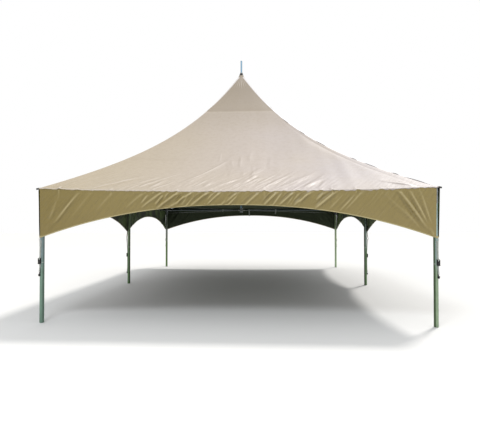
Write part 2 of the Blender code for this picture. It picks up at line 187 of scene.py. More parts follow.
def round_bar(radius, sides=12):
    angles = 2 * np.pi * np.arange(sides) / sides
    return np.stack([radius * np.cos(angles), radius * np.sin(angles)], axis=-1)


def flat_bar(width, thickness):
    """The section of a flat bar or strap with softened edges."""
    w, t, soft = width / 2, thickness / 2, thickness / 3
    corners = [(w, t - soft), (w - soft, t), (0, t), (soft - w, t), (-w, t - soft)]
    return np.array(corners + [(-x, -y) for x, y in corners])


def ring_faces(rings, sides, closed):
    """The faces between rings of points, which close up with the first ring or end in two flat faces."""
    faces = []
    for ring in range(rings if closed else rings - 1):
        low, high = ring * sides, (ring + 1) % rings * sides
        for step in range(sides):
            after = (step + 1) % sides
            faces.append((low + step, low + after, high + after, high + step))
    if not closed:
        faces += [tuple(range(sides)), tuple(range((rings - 1) * sides, rings * sides))]
    return faces


def turned(profile, sides=48, closed=False):
    """Turns (height, radius) points round the Z axis. A closed profile is hollow, any other gets flat ends."""
    heights, radii = np.array(profile, float).T
    heights = np.broadcast_to(heights[:, None, None], (len(profile), sides, 1))
    points = np.concatenate([radii[:, None, None] * round_bar(1, sides), heights], axis=-1)
    return points.reshape(-1, 3), ring_faces(len(profile), sides, closed)


def unit(vectors):
    vectors = np.asarray(vectors, float)
    return vectors / np.linalg.norm(vectors, axis=-1, keepdims=True)


def swept(path, normals, section, closed=False):
    """Draws a section along a path. Its points are (across, outward), outward along the normals, and it may change
    from point to point of the path."""
    path = np.asarray(path, float)
    steps = len(path)
    tangents = unit(np.roll(path, -1, 0) - np.roll(path, 1, 0)) if closed else unit(np.gradient(path, axis=0))
    across = unit(np.cross(tangents, np.broadcast_to(np.asarray(normals, float), path.shape)))
    outward = np.cross(across, tangents)
    section = np.asarray(section, float)
    if section.ndim == 2:
        section = np.broadcast_to(section, (steps, *section.shape))
    points = path[:, None] + section[..., :1] * across[:, None] + section[..., 1:] * outward[:, None]
    return points.reshape(-1, 3), ring_faces(steps, section.shape[1], closed)


def rounded(corners, cut, steps=6):
    """A path through these corners that starts to turn this far before each."""
    corners = [np.array(corner, float) for corner in corners]
    path = [corners[0]]
    for before, corner, after in zip(corners, corners[1:], corners[2:]):
        start = corner + unit(before - corner) * cut
        end = corner + unit(after - corner) * cut
        for share in np.linspace(0, 1, steps + 1):
            path.append((1 - share) ** 2 * start + 2 * share * (1 - share) * corner + share**2 * end)
    path.append(corners[-1])
    return np.array(path)


def moved(shape, matrix):
    points, faces = shape[:2]
    points = np.c_[points, np.ones(len(points))] @ np.array(matrix).T
    return (points[:, :3], faces, *shape[2:])


def face_outwards(mesh):
    work = bmesh.new()
    work.from_mesh(mesh)
    bmesh.ops.recalc_face_normals(work, faces=work.faces)
    work.to_mesh(mesh)
    work.free()


def piece(name, shapes, materials, replaces=(), place=(0, 0, 0), turn=0.0, sharp=40):
    """One named piece that rides on the tent's body. A shape is points and faces, then the number of its material
    or one number for each face. The turn is about Z, or a whole Euler rotation."""
    points, faces, numbers = [], [], []
    start = 0
    for shape_points, shape_faces, *finish in shapes:
        points.append(np.asarray(shape_points, float))
        faces.extend([tuple(int(corner) + start for corner in face) for face in shape_faces])
        number = finish[0] if finish else 0
        numbers.extend([number] * len(shape_faces) if isinstance(number, int) else number)
        start += len(shape_points)
    mesh = bpy.data.meshes.new(name)
    mesh.from_pydata(np.concatenate(points).tolist(), [], faces)
    for material in materials:
        mesh.materials.append(material)
    mesh.polygons.foreach_set("material_index", numbers)
    face_outwards(mesh)
    mesh.shade_smooth()
    mesh.set_sharp_from_angle(angle=math.radians(sharp))
    made = link_object(name, mesh)
    made.location = place
    made.rotation_euler = (0, 0, turn) if isinstance(turn, (int, float)) else turn
    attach(made, "root")
    if replaces:
        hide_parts(*replaces)
    return made


def new_finish(name):
    """An empty material, and the place on its piece, in metres, that its patterns follow."""
    material = empty_material(name)
    return material, add_node(material, "TexCoord", output="Object")


def clouded(name, scale, detail, dark, pale):
    """A new finish whose colour clouds between two hex colours: the material, the place on its piece, the clouds
    and the colour."""
    material, place_on = new_finish(name)
    clouds = add_node(material, "TexNoise", {"Vector": place_on, "Scale": scale, "Detail": detail})
    colours = {0: clouds, 6: linear(dark), 7: linear(pale)}
    return material, place_on, clouds, add_node(material, "Mix", colours, 2, data_type="RGBA")


def washed(material, tone, *washes):
    """Lays more colours over a tone. Each wash names a value, the two numbers between which that value fades the
    colour in or out, the colour's share at both, and the colour."""
    for value, start, end, start_share, end_share, colour in washes:
        fade = {"Value": value, "From Min": start, "From Max": end, "To Min": start_share, "To Max": end_share}
        colours = {0: add_node(material, "MapRange", fade), 6: tone, 7: linear(colour)}
        tone = add_node(material, "Mix", colours, 2, data_type="RGBA")
    return tone


def drawn_lines(material, place_on, fineness=(260, 260, 1.2), detail=3.0):
    """Fine streaks along a tube's own Z axis, from its drawing through the die."""
    stretched = add_node(material, "Mapping", {"Vector": place_on, "Scale": fineness})
    return add_node(material, "TexNoise", {"Vector": stretched, "Scale": 1.0, "Detail": detail})


# Mill finished aluminium tube: a soft grey gloss drawn out along the tube. Its colour is painted reflection, bluer
# above the collar like the sky and greener below it like grass, and lighter or darker from leg to leg as painted light
# and shade. The inner side has a band of dark green painted shade, more on some legs, and on the front left leg the
# part behind the skirt is darkened by painted shade and grime. The drawing lines are really 0.2 mm apart and are drawn
# 4 mm apart.
LEG_TONES = {  # below the collar, above it, the inner painted shade, how much of it there is, and how much painted shade and grime behind the skirt
    "front_left": ("#748F80", "#86999E", "#4D5E54", 0.50, 0.75),
    "front_right": ("#8DA184", "#9DB3B2", "#3E4F34", 0.90, 0.0),
    "middle_left": ("#5F7A55", "#6E7F62", "#3A4B2C", 0.70, 0.0),
    "middle_right": ("#627C58", "#7B8A80", "#2A3C20", 1.00, 0.0),
    "back_left": ("#68844F", "#75796F", "#4E5E44", 0.60, 0.0),
    "back_right": ("#AABF9C", "#A2B390", "#5F7452", 0.50, 0.0),
}
leg_aluminium = {}
for name, (below, above, inner_painted_shade, inner_painted_shade_share, skirt_shade_and_grime_share) in LEG_TONES.items():
    metal, place_on = new_finish("mill_finished_aluminium_leg_tube_" + name)
    lines = drawn_lines(metal, place_on)
    stains = add_node(metal, "TexNoise", {"Vector": place_on, "Scale": 7.0, "Detail": 5.0})
    x, _, z = add_node(metal, "SeparateXYZ", {"Vector": place_on}).node.outputs
    tone = washed(
        metal,
        linear(below),
        # painted reflection: greener below the collar, bluer above it
        (z, COLLAR_HEIGHT - 0.15, COLLAR_HEIGHT + 0.15, 0.0, 1.0, above),
        (stains, 0.35, 0.75, 0.0, 0.4, "#66726A"),
        # painted shade: a dark green band on the inner side of the leg
        (x, -0.008, -0.022, 0.0, inner_painted_shade_share, inner_painted_shade),
        # painted shade and grime behind the skirt
        (z, 1.34, 1.40, 0.0, skirt_shade_and_grime_share, "#3F3E2C"),
    )
    gloss = add_node(metal, "MapRange", {"Value": lines, "To Min": 0.32, "To Max": 0.55})
    give_skin(metal, {"Base Color": tone, "Metallic": 0.75, "Roughness": gloss}, (lines, 0.15, 0.001))
    leg_aluminium[name] = metal

# Bright aluminium collar: a little paler and smoother than the tube, so it reads as a fine light line.
collar_aluminium, _, _, tone = clouded("bright_aluminium_collar", 60.0, 4.0, "#939C97", "#B2B9B3")
give_skin(collar_aluminium, {"Base Color": tone, "Metallic": 0.7, "Roughness": 0.38})

# Black zinc-plated steel: nearly black, half glossy, worn to grey on its edges and high spots.
black_steel, place_on = new_finish("black_zinc_plated_steel")
scuffs = add_node(black_steel, "TexNoise", {"Vector": place_on, "Scale": 110.0, "Detail": 5.0})
tone = washed(black_steel, linear("#0B0C0A"), (scuffs, 0.60, 0.74, 0.0, 0.5, "#383934"))
gloss = add_node(black_steel, "MapRange", {"Value": scuffs, "To Min": 0.30, "To Max": 0.55})
give_skin(black_steel, {"Base Color": tone, "Metallic": 0.3, "Roughness": gloss})

tube_profile = [
    (0.0, LEG_RADIUS - TUBE_BEVEL),
    (TUBE_BEVEL, LEG_RADIUS),
    (COLLAR_HEIGHT, LEG_RADIUS),
    (LEG_TOP, LEG_RADIUS),
    (LEG_TOP, LEG_RADIUS - LEG_WALL),
    (COLLAR_HEIGHT, LEG_RADIUS - LEG_WALL),
    (0.0, LEG_RADIUS - LEG_WALL),
]
collar_half = [(1.0, -TUBE_BEVEL), (1.0, 0.6 * COLLAR_PROUD), (0.8, COLLAR_PROUD)]  # share of its half, and proud
collar_profile = [(COLLAR_HEIGHT - up * COLLAR_HALF, LEG_RADIUS + proud) for up, proud in collar_half]
collar_profile += [(COLLAR_HEIGHT + up * COLLAR_HALF, LEG_RADIUS + proud) for up, proud in collar_half[::-1]]
staple_section = flat_bar(*STAPLE_BAR)[:, ::-1]
staple_reaches = (LEG_RADIUS - WELD_DEPTH, STAPLE_REACH, STAPLE_REACH, LEG_RADIUS - WELD_DEPTH)
for name, (side_x, side_y) in LEG_PLACES.items():
    turn = 0.0 if side_x > 0 else math.pi
    to_corner = Matrix.Rotation(math.atan2(side_y, side_x) - turn, 4, "Z")
    height = STAPLE_HEIGHTS["corner" if side_y else "middle"]
    staple = [(reach, y * STAPLE_HALF_WIDTH, height) for reach, y in zip(staple_reaches, (-1, -1, 1, 1))]
    staple = swept(rounded(staple, STAPLE_BEND), (0, 0, 1), staple_section)
    shapes = [
        turned(tube_profile, closed=True),
        (*turned(collar_profile, closed=True), 1),
        (*moved(staple, to_corner), 2),
    ]
    materials = [leg_aluminium[name], collar_aluminium, black_steel]
    place = (side_x * HALF_WIDTH, side_y * HALF_LENGTH, 0)
    piece("leg_tube_" + name, shapes, materials, ["leg_" + name], place, turn)

# Fittings
# Sand-cast aluminium sockets that take a leg from below and the rails from the side. Their open ends have a thicker
# bead, and the corner ones are domed and carry a drilled lug for the cross cable, cast in one with the socket.

RAIL_HEIGHT = 2.0475
RAIL_RADIUS = 0.030
SOCKET_WALL = 0.0045
SLEEVE_LENGTH = 0.180
SOCKET_START = 0.036
BEAD_LENGTH = 0.014
BEAD_SLOPE = 0.004
BEAD_PROUD = 0.0022
BEAD_BEVEL = 0.0015
DOME_CENTRE = 2.0862
DOME_LAP = 0.030  # how far the dome runs down into the sleeves
LUG_LENGTH = 0.075
LUG_HEIGHT = 0.050
LUG_THICKNESS = 0.008
LUG_HOLE = 0.006
LUG_HOLE_INSET = 0.018
CORNER_LUG_HEIGHT = 1.9375
CLEARANCE = 0.0003
OVERRUN = 0.01  # how far a cutting shape runs out of an open end
MAST_X = -0.110
ALONG_X = Matrix.Rotation(math.pi / 2, 4, "Y")
ALONG_Y = Matrix.Rotation(-math.pi / 2, 4, "X")


def plate(outline, thickness):
    """A flat plate: an outline of (x, z) points, centred on the XZ plane."""
    outline = np.asarray(outline, float)
    count = len(outline)
    near = np.stack([outline[:, 0], np.full(count, -thickness / 2), outline[:, 1]], axis=-1)
    far = near + (0, thickness, 0)
    sides = [(step, (step + 1) % count, (step + 1) % count + count, step + count) for step in range(count)]
    return np.concatenate([near, far]), [*sides, tuple(range(count)), tuple(range(count, 2 * count))]


def combined(first, added=(), removed=()):
    """The first shape joined with some and then cut by others, by exact Booleans."""
    helpers = []
    for points, faces, *_ in [first, *added, *removed]:
        mesh = bpy.data.meshes.new("helper")
        mesh.from_pydata(np.asarray(points).tolist(), [], faces)
        face_outwards(mesh)
        helpers.append(link_object("helper", mesh))
    for number, helper in enumerate(helpers[1:]):
        step = helpers[0].modifiers.new("step", "BOOLEAN")
        step.operation = "UNION" if number < len(added) else "DIFFERENCE"
        step.solver = "EXACT"
        step.object = helper
    whole = bpy.data.meshes.new_from_object(helpers[0].evaluated_get(bpy.context.evaluated_depsgraph_get()))
    points = np.array([vertex.co for vertex in whole.vertices])
    for helper in helpers:
        bpy.data.objects.remove(helper)
    return points, [tuple(polygon.vertices) for polygon in whole.polygons]


def sleeve(start, end, bore):
    """A round socket on the Z axis with a bead round its open end."""
    radius = bore + SOCKET_WALL
    inward = math.copysign(1, start - end)
    return turned(
        [
            (start, radius),
            (end + inward * (BEAD_LENGTH + BEAD_SLOPE), radius),
            (end + inward * BEAD_LENGTH, radius + BEAD_PROUD),
            (end + inward * BEAD_BEVEL, radius + BEAD_PROUD),
            (end, radius + BEAD_PROUD - BEAD_BEVEL),
        ]
    )


def towards(direction):
    """Turns the X axis towards a level direction."""
    return Matrix.Rotation(math.atan2(direction[1], direction[0]), 4, "Z")


def arc_points(centre, radius, start, end, steps=10):
    """Points on an arc in the XZ plane, between two angles in degrees. The radius may grow or shrink on the way."""
    radii = np.linspace(*radius, steps) if isinstance(radius, tuple) else [radius] * steps
    angles = np.radians(np.linspace(start, end, steps))
    return [(centre[0] + r * math.cos(a), centre[1] + r * math.sin(a)) for r, a in zip(radii, angles)]


def lug(direction, height):
    """A plate with a round end, which reaches out level along a direction."""
    arc = arc_points((LUG_LENGTH - LUG_HEIGHT / 2, 0), LUG_HEIGHT / 2, -90, 90, 17)
    flat = plate([(0, -LUG_HEIGHT / 2), *arc, (0, LUG_HEIGHT / 2)], LUG_THICKNESS)
    return moved(flat, Matrix.Translation((0, 0, height)) @ towards(direction))


def pin(upper_half, sides):
    """A turned pin on the Z axis, from the (height, radius) points of its upper half."""
    return turned([(-height, radius) for height, radius in upper_half[::-1]] + upper_half, sides)


def lug_hole(direction, height):
    """The hole for the pin, through the end of such a lug."""
    pin_place = towards(direction) @ Matrix.Translation((LUG_LENGTH - LUG_HOLE_INSET, 0, height))
    return moved(pin([(0.02, LUG_HOLE)], 20), pin_place @ ALONG_Y)


# Sand-cast aluminium: pale grey, matt and grainy. The grain is really 0.3 mm and is drawn at about 3 mm.
cast_aluminium, place_on, _, tone = clouded("sand_cast_aluminium", 14.0, 4.0, "#6E7476", "#A2A7A8")
grain = add_node(cast_aluminium, "TexNoise", {"Vector": place_on, "Scale": 320.0, "Detail": 2.0})
give_skin(cast_aluminium, {"Base Color": tone, "Metallic": 0.85, "Roughness": 0.58}, (grain, 0.45, 0.001))

post_foot = RAIL_HEIGHT - SLEEVE_LENGTH
leg_bore = LEG_RADIUS + CLEARANCE
rail_bore = RAIL_RADIUS + CLEARANCE
dome_radius = LEG_RADIUS + SOCKET_WALL
dome = [(RAIL_HEIGHT - DOME_LAP, dome_radius)]
dome += [(height, radius) for radius, height in arc_points((0, DOME_CENTRE), dome_radius, 0, 84)]
leg_hole = turned([(post_foot - OVERRUN, leg_bore), (RAIL_HEIGHT - SOCKET_START + CLEARANCE, leg_bore)])
at_rail = Matrix.Translation((0, 0, RAIL_HEIGHT))
for name, (side_x, side_y) in LEG_PLACES.items():
    if side_y:
        arms = [(ALONG_X, -side_x), (ALONG_Y, -side_y)]
        to_mast = (MAST_X - side_x * HALF_WIDTH, -side_y * HALF_LENGTH)
        added = [turned(dome), lug(to_mast, CORNER_LUG_HEIGHT)]
        removed = [leg_hole, lug_hole(to_mast, CORNER_LUG_HEIGHT)]
        node = "corner_fitting_" + name
    else:
        arms = [(ALONG_Y, -1), (ALONG_Y, 1)]
        added, removed = [], [leg_hole]
        node = "tee_fitting_" + name
    for axis, sign in arms:
        added.append(moved(sleeve(0, sign * SLEEVE_LENGTH, RAIL_RADIUS), at_rail @ axis))
        bore = turned([(sign * SOCKET_START, rail_bore), (sign * (SLEEVE_LENGTH + OVERRUN), rail_bore)])
        removed.append(moved(bore, at_rail @ axis))
    casting = combined(sleeve(RAIL_HEIGHT, post_foot, LEG_RADIUS), added, removed)
    place = (side_x * HALF_WIDTH, side_y * HALF_LENGTH, 0)
    piece("cast_" + node, [casting], [cast_aluminium], [node], place)

# Rails
# Round aluminium tubes, 60 mm across, one over each end and two along each side, pushed into the fittings' sockets.
# They carry the edge of the cover, and their mill finish is darkened to a dark grey as painted shade, for the dark
# surroundings they mirror under the roof.

RAIL_WALL = 0.0025
RAIL_BEVEL = 0.001
# Painted shade: the dark grey stands for the dark surroundings that the tube mirrors.
rail_aluminium, place_on, _, tone = clouded("mill_finished_aluminium_rail_tube_painted_dark", 5.0, 3.0, "#4A5254", "#666E70")
lines = drawn_lines(rail_aluminium, place_on)
gloss = add_node(rail_aluminium, "MapRange", {"Value": lines, "To Min": 0.28, "To Max": 0.45})
give_skin(rail_aluminium, {"Base Color": tone, "Metallic": 0.9, "Roughness": gloss})


def rail_tube(node, length, place, turn):
    """A rail lies along its own Z axis in the mesh, so that the drawing lines run along it."""
    half = length / 2
    profile = [
        (-half, RAIL_RADIUS - RAIL_BEVEL),
        (RAIL_BEVEL - half, RAIL_RADIUS),
        (half - RAIL_BEVEL, RAIL_RADIUS),
        (half, RAIL_RADIUS - RAIL_BEVEL),
        (half, RAIL_RADIUS - RAIL_WALL),
        (-half, RAIL_RADIUS - RAIL_WALL),
    ]
    piece("tube_" + node, [turned(profile, closed=True)], [rail_aluminium], [node], place, turn)


end_rail = 2 * (HALF_WIDTH - SOCKET_START - CLEARANCE)
bay_rail = HALF_LENGTH - 2 * (SOCKET_START + CLEARANCE)
for end, side_y in (("front", -1), ("back", 1)):
    rail_tube("rail_" + end, end_rail, (0, side_y * HALF_LENGTH, RAIL_HEIGHT), (0, math.pi / 2, 0))
for side, side_x in (("left", -1), ("right", 1)):
    for bay, side_y in (("front", -1), ("back", 1)):
        centre = (side_x * HALF_WIDTH, side_y * HALF_LENGTH / 2, RAIL_HEIGHT)
        rail_tube("rail_" + side + "_" + bay, bay_rail, centre, (math.pi / 2, 0, 0))

# Mast
# An aluminium pole that stands in a cast cup hung on the cross cables. A shoulder near its top lifts the crown of the
# cover, and the slimmer tip goes up through a moulded rubber boot that a steel band closes against the rain.

MAST_RADIUS = 0.0254
MAST_FOOT_HEIGHT = 1.840
MAST_LUG_HEIGHT = 1.900
MAST_TIP_HEIGHT = 5.785
TIP_RADIUS = 0.0215
TIP_ROUNDING = 0.012
CROWN_HEIGHT = 5.400
SHOULDER_BEVEL = (0.004, 0.002)
CUP_FLOOR = 0.030
CUP_DEPTH = 0.090
CUP_RADIUS = 0.040
CUP_BEAD = 0.002
CUP_FOOT = ((0, 0.026), (0.004, 0.031), (0.012, CUP_RADIUS))  # up from its foot, and the radius there
CUP_RIM = ((0.012, 0), (0.010, CUP_BEAD), (0.001, CUP_BEAD), (0, CUP_BEAD / 2))  # down from its top, and proud
CUTTER_RISE = 0.080  # how far the bore's cutting shape stands out of the cup
BOOT_HEIGHT = 0.066
BOOT_FLANGE = ((0, 0.050), (0.002, 0.052), (0.010, 0.052))  # up from the boot's foot, and the radius there
BOOT_NECK = ((0.018, 0.0335), (0.001, 0.0335), (0, 0.0325))  # down from its top
RIBS = 3
RIB_FOOT = (0.012, 0.046)  # the lowest one, up from the boot's foot, and its radius
RIB_STEP = (0.011, -0.0045)
RIB_SHAPE = ((0, 0.005), (0.003, 0.001), (0.0055, 0), (0.008, 0.001))  # up, and in from the rib's crest
BAND_RADII = (0.033, 0.0345)
BAND_DROPS = (0.015, 0.005)  # its lower and upper edge, below the boot's top
SCREW_BOX = (0.008, 0.016, 0.012)
SCREW_BOX_X = 0.0365
MAST_PLACE = (MAST_X, 0, 0)

# Anodised aluminium pole: a cool blue-grey satin, with faint dull streaks along it.
mast_aluminium, place_on = new_finish("anodised_aluminium_mast_tube")
lines = drawn_lines(mast_aluminium, place_on, (200, 200, 2.0), 2.0)
tone = washed(mast_aluminium, linear("#5F7C8E"), (lines, 0.0, 1.0, 0.0, 1.0, "#83A0B2"))
give_skin(mast_aluminium, {"Base Color": tone, "Metallic": 0.8, "Roughness": 0.36})

tip = arc_points((TIP_RADIUS - TIP_ROUNDING, MAST_TIP_HEIGHT - TIP_ROUNDING), TIP_ROUNDING, 0, 85.5, 8)
mast_profile = [
    (MAST_FOOT_HEIGHT + CUP_FLOOR + CLEARANCE, MAST_RADIUS),
    (CROWN_HEIGHT - SHOULDER_BEVEL[0], MAST_RADIUS),
    (CROWN_HEIGHT, MAST_RADIUS - SHOULDER_BEVEL[1]),
    (CROWN_HEIGHT, TIP_RADIUS),
    *[(height, radius) for radius, height in tip],
]
piece("mast_tube", [turned(mast_profile)], [mast_aluminium], ["mast"], MAST_PLACE)

# Moulded rubber: near black and matt, greyed a little on its ribs where dust holds.
moulded_rubber, _, dust, tone = clouded("moulded_black_rubber", 45.0, 5.0, "#17181A", "#3A3C3E")
give_skin(moulded_rubber, {"Base Color": tone, "Roughness": 0.62}, (dust, 0.2, 0.001))

bore = TIP_RADIUS + CLEARANCE
boot_foot, boot_top = CROWN_HEIGHT + CLEARANCE, CROWN_HEIGHT + BOOT_HEIGHT
boot_profile = [(boot_foot + up, radius) for up, radius in BOOT_FLANGE]
for rib in range(RIBS):
    low, crest = boot_foot + RIB_FOOT[0] + rib * RIB_STEP[0], RIB_FOOT[1] + rib * RIB_STEP[1]
    boot_profile += [(low + up, crest - inset) for up, inset in RIB_SHAPE]
boot_profile += [(boot_top - down, radius) for down, radius in BOOT_NECK]
boot_profile += [(boot_top, bore), (boot_foot, bore)]
piece("rubber_boot", [turned(boot_profile, closed=True)], [moulded_rubber], ["mast_cap"], MAST_PLACE)

# Zinc-plated steel: a bright, slightly clouded grey metal for pins, rings and bands.
zinc_steel, _, bloom, tone = clouded("zinc_plated_steel", 90.0, 4.0, "#7E8280", "#BFC2BC")
gloss = add_node(zinc_steel, "MapRange", {"Value": bloom, "To Min": 0.25, "To Max": 0.5})
give_skin(zinc_steel, {"Base Color": tone, "Metallic": 0.95, "Roughness": gloss})

inner, outer = BAND_RADII
low, high = (boot_top - drop for drop in BAND_DROPS)
band = turned([(low, inner), (low, outer), (high, outer), (high, inner)], closed=True)
x, y, z = SCREW_BOX[0] / 2, SCREW_BOX[1], SCREW_BOX[2] / 2
screw_box = plate([(-x, -z), (x, -z), (x, z), (-x, z)], y)
screw_box = moved(screw_box, Matrix.Translation((SCREW_BOX_X, 0, (low + high) / 2)))
piece("boot_band", [band, screw_box], [zinc_steel], (), MAST_PLACE)

cup_top = MAST_FOOT_HEIGHT + CUP_FLOOR + CUP_DEPTH
cup_bore = MAST_RADIUS + CLEARANCE
cup = [(MAST_FOOT_HEIGHT + up, radius) for up, radius in CUP_FOOT]
cup = turned(cup + [(cup_top - down, CUP_RADIUS + proud) for down, proud in CUP_RIM])
added = []
removed = [turned([(MAST_FOOT_HEIGHT + CUP_FLOOR, cup_bore), (cup_top + CUTTER_RISE, cup_bore)])]
for side_x, side_y in CORNERS.values():
    to_corner = (side_x * HALF_WIDTH - MAST_X, side_y * HALF_LENGTH)
    added.append(lug(to_corner, MAST_LUG_HEIGHT))
    removed.append(lug_hole(to_corner, MAST_LUG_HEIGHT))
piece("cast_mast_cup", [combined(cup, added, removed)], [cast_aluminium], ["mast_foot"], MAST_PLACE)

# Cross cables
# Four galvanised wire ropes, 8 mm thick, stretched from the corner lugs to the mast cup. Each end is swaged into a
# steel sleeve with a forked jaw, and a pin goes through the jaw and the lug.

CABLE_RADIUS = 0.004
STRANDS = 6
CABLE_LAY = 0.110  # really about 50 mm a turn, drawn longer so that the strands show
CABLE_STEP = 0.0095
SWAGE_RADIUS = 0.009
SWAGE_LENGTH = 0.080
SWAGE_GRIP = 0.005  # how far the rope shows running into its sleeve
JAW_PIN = -0.018
JAW_EAR_RADIUS = 0.013
JAW_EAR_ROOT = [(0.011, 0.012), (-0.011, 0.012)]
JAW_EAR_THICKNESS = 0.004
JAW_EAR_Y = 0.0065
JAW_BRIDGE = [(0.002, 0.0095), (0.004, 0.0115), (0.014, 0.0115), (0.018, 0.0095)]
JAW_PIN_HALF = [(0.0088, 0.0055), (0.0090, 0.0080), (0.0125, 0.0075)]

# Galvanised wire rope: dull grey zinc over the strands, darker in the grooves between them.
galvanised_wire, _, _, tone = clouded("galvanised_wire_rope", 30.0, 5.0, "#5A5E5E", "#A4A8A6")
give_skin(galvanised_wire, {"Base Color": tone, "Metallic": 0.9, "Roughness": 0.46})


def wire_rope(length):
    """Strands laid round each other along the Z axis, between the two swaged sleeves."""
    start = SWAGE_LENGTH - SWAGE_GRIP
    stations = np.linspace(start, length - start, int(length / CABLE_STEP))
    angles = 2 * np.pi * np.arange(3 * STRANDS) / (3 * STRANDS)
    radii = CABLE_RADIUS * (0.82 + 0.20 * np.abs(np.cos(STRANDS / 2 * angles)))
    angles = angles + 2 * np.pi * stations[:, None] / CABLE_LAY
    sections = np.stack([radii * np.cos(angles), radii * np.sin(angles)], axis=-1)
    return swept(np.stack([0 * stations, 0 * stations, stations], axis=-1), (0, 1, 0), sections)


def jaw_end():
    """A swaged sleeve from z = 0 upwards, and the forked jaw that reaches back over a lug to its pin."""
    swage = [
        (0.012, SWAGE_RADIUS * 0.9),
        (0.016, SWAGE_RADIUS),
        (SWAGE_LENGTH - 0.010, SWAGE_RADIUS),
        (SWAGE_LENGTH - 0.003, SWAGE_RADIUS * 0.8),
        (SWAGE_LENGTH, CABLE_RADIUS * 1.2),
    ]
    ear = plate(arc_points((0, JAW_PIN), JAW_EAR_RADIUS, 180, 360, 13) + JAW_EAR_ROOT, JAW_EAR_THICKNESS)
    upright = Matrix.Rotation(math.pi / 2, 4, "Z")
    ears = [moved(ear, upright @ Matrix.Translation((0, y, 0))) for y in (-JAW_EAR_Y, JAW_EAR_Y)]
    jaw_pin = moved(pin(JAW_PIN_HALF, 20), Matrix.Translation((0, 0, JAW_PIN)) @ ALONG_X)
    return [turned(swage, 24), *ears, turned(JAW_BRIDGE, 24), jaw_pin]


for name, (side_x, side_y) in CORNERS.items():
    corner = Vector((side_x * HALF_WIDTH, side_y * HALF_LENGTH, CORNER_LUG_HEIGHT))
    heading = (Vector(MAST_PLACE) - Vector((corner.x, corner.y, 0))).normalized()
    start = corner + heading * (LUG_LENGTH + CLEARANCE)
    run = Vector((MAST_X, 0, MAST_LUG_HEIGHT)) - heading * (LUG_LENGTH + CLEARANCE) - start
    far_end = Matrix.Translation((0, 0, run.length)) @ Matrix.Rotation(math.pi, 4, "Y")
    shapes = [wire_rope(run.length)]
    for part in jaw_end():
        shapes += [(*part, 1), (*moved(part, far_end), 1)]
    turn = run.to_track_quat("Z", "Y").to_euler()
    nodes = ["cross_cable_" + name]
    piece("wire_rope_" + name, shapes, [galvanised_wire, zinc_steel], nodes, start, turn)

# Roof cover
# PVC-coated polyester, about 1 mm thick, glossy tan outside and near black inside so that no light comes through.
# Four gores are welded at the hips, each with two level lap welds, and stretched from the rails up to the crown.

EDGE_X = 3.093
EDGE_Y = 4.617
CROWN_RADIUS = 0.050
CORNER_EAVE_HEIGHT = 2.115
EAVE_CLIMB = 1.8531
CROWN_CLIMB = 5.7028
COVER_THICKNESS = 0.0012
LIP_RADIUS = 0.007
LIP_START = 20  # degrees off upright, where the lip leaves the gore
LIP_TURNS = ((98, 1.0), (80, 0.85), (62, 0.6), (44, 0.35), (32, 0.15))  # degrees, and the share of the pucker there
LIP_HANG = 0.011
WELD_SHARES = (0.319, 0.754)
UPPER_LAP_HEIGHT = 4.145  # the middle of the lap below the upper weld line
WELD_STEP = 0.0004
WELD_WIDTH = 0.0006
HIP_ROLL = 0.130
HIP_RISE = 0.11
FALL_BACK = -0.0020  # the membrane goes no further in than this where something is behind it
SIDES = {
    name: {"along": np.array(along, float), "out": np.array(out, float), "half": half, "reach": reach, "eave": eave}
    for name, along, out, half, reach, eave in (
        ("front", (1, 0, 0), (0, -1, 0), EDGE_X, EDGE_Y, 2.0659),
        ("back", (-1, 0, 0), (0, 1, 0), EDGE_X, EDGE_Y, 2.0659),
        ("left", (0, -1, 0), (-1, 0, 0), EDGE_Y, EDGE_X, 2.0649),
        ("right", (0, 1, 0), (1, 0, 0), EDGE_Y, EDGE_X, 2.0649),
    )
}
SIDE_NUMBERS = {side: number for number, side in enumerate(SIDES)}
UP = np.array([0, 0, 1.0])
# The front gore's longest folds, as (along, in from the eave) at both ends, half width and height
FRONT_ROOF_FOLDS = [
    ((-1.00, 0.10), (-0.10, 1.56), 0.050, 0.015),
    ((-0.06, 0.14), (0.44, 1.08), 0.044, 0.011),
    ((0.40, 0.10), (1.00, 0.84), 0.046, 0.011),
    ((0.66, 0.06), (1.34, 0.80), 0.046, 0.011),
    ((1.10, 0.14), (1.46, 0.54), 0.040, 0.005),
    ((2.30, 0.34), (3.00, -0.06), 0.034, 0.024),
    ((-1.60, 0.06), (-0.92, 0.88), 0.044, 0.009),
    ((-2.30, 0.04), (-1.50, 0.68), 0.044, 0.008),
]


def eave_height(side, across):
    middle = SIDES[side]["eave"]
    return middle + (CORNER_EAVE_HEIGHT - middle) * across**2


def roof_surface(side, across, share):
    """The taut membrane: across runs from -1 to 1 along the eave, and share from 0 at the eave to 1 at the crown."""
    facts = SIDES[side]
    edge = across[..., None] * facts["half"] * facts["along"] + facts["reach"] * facts["out"]
    crown = np.array(MAST_PLACE) + unit(edge) * CROWN_RADIUS
    points = edge + (crown - edge) * share[..., None]
    eave = eave_height(side, across)
    points[..., 2] = (
        eave
        + (CROWN_HEIGHT - eave) * (3 * share**2 - 2 * share**3)
        + EAVE_CLIMB * (share - 2 * share**2 + share**3)
        + CROWN_CLIMB * (share**3 - share**2)
    )
    return points


def grid_normals(grid):
    rows, columns = np.gradient(grid, axis=0), np.gradient(grid, axis=1)
    return unit(np.cross(columns, rows))


def waves(u, v, seed, shortest, longest, count=14):
    """Soft uneven waves of about -1 to 1, whose lengths in metres lie between the two."""
    draw = np.random.default_rng(seed)
    total = np.zeros(np.broadcast(u, v).shape)
    for _ in range(count):
        length = shortest * (longest / shortest) ** draw.random()
        heading, phase = draw.uniform(0, np.pi), draw.uniform(0, 2 * np.pi)
        total += np.sin(2 * np.pi * (u * np.cos(heading) + v * np.sin(heading)) / length + phase)
    return total / math.sqrt(2 * count)


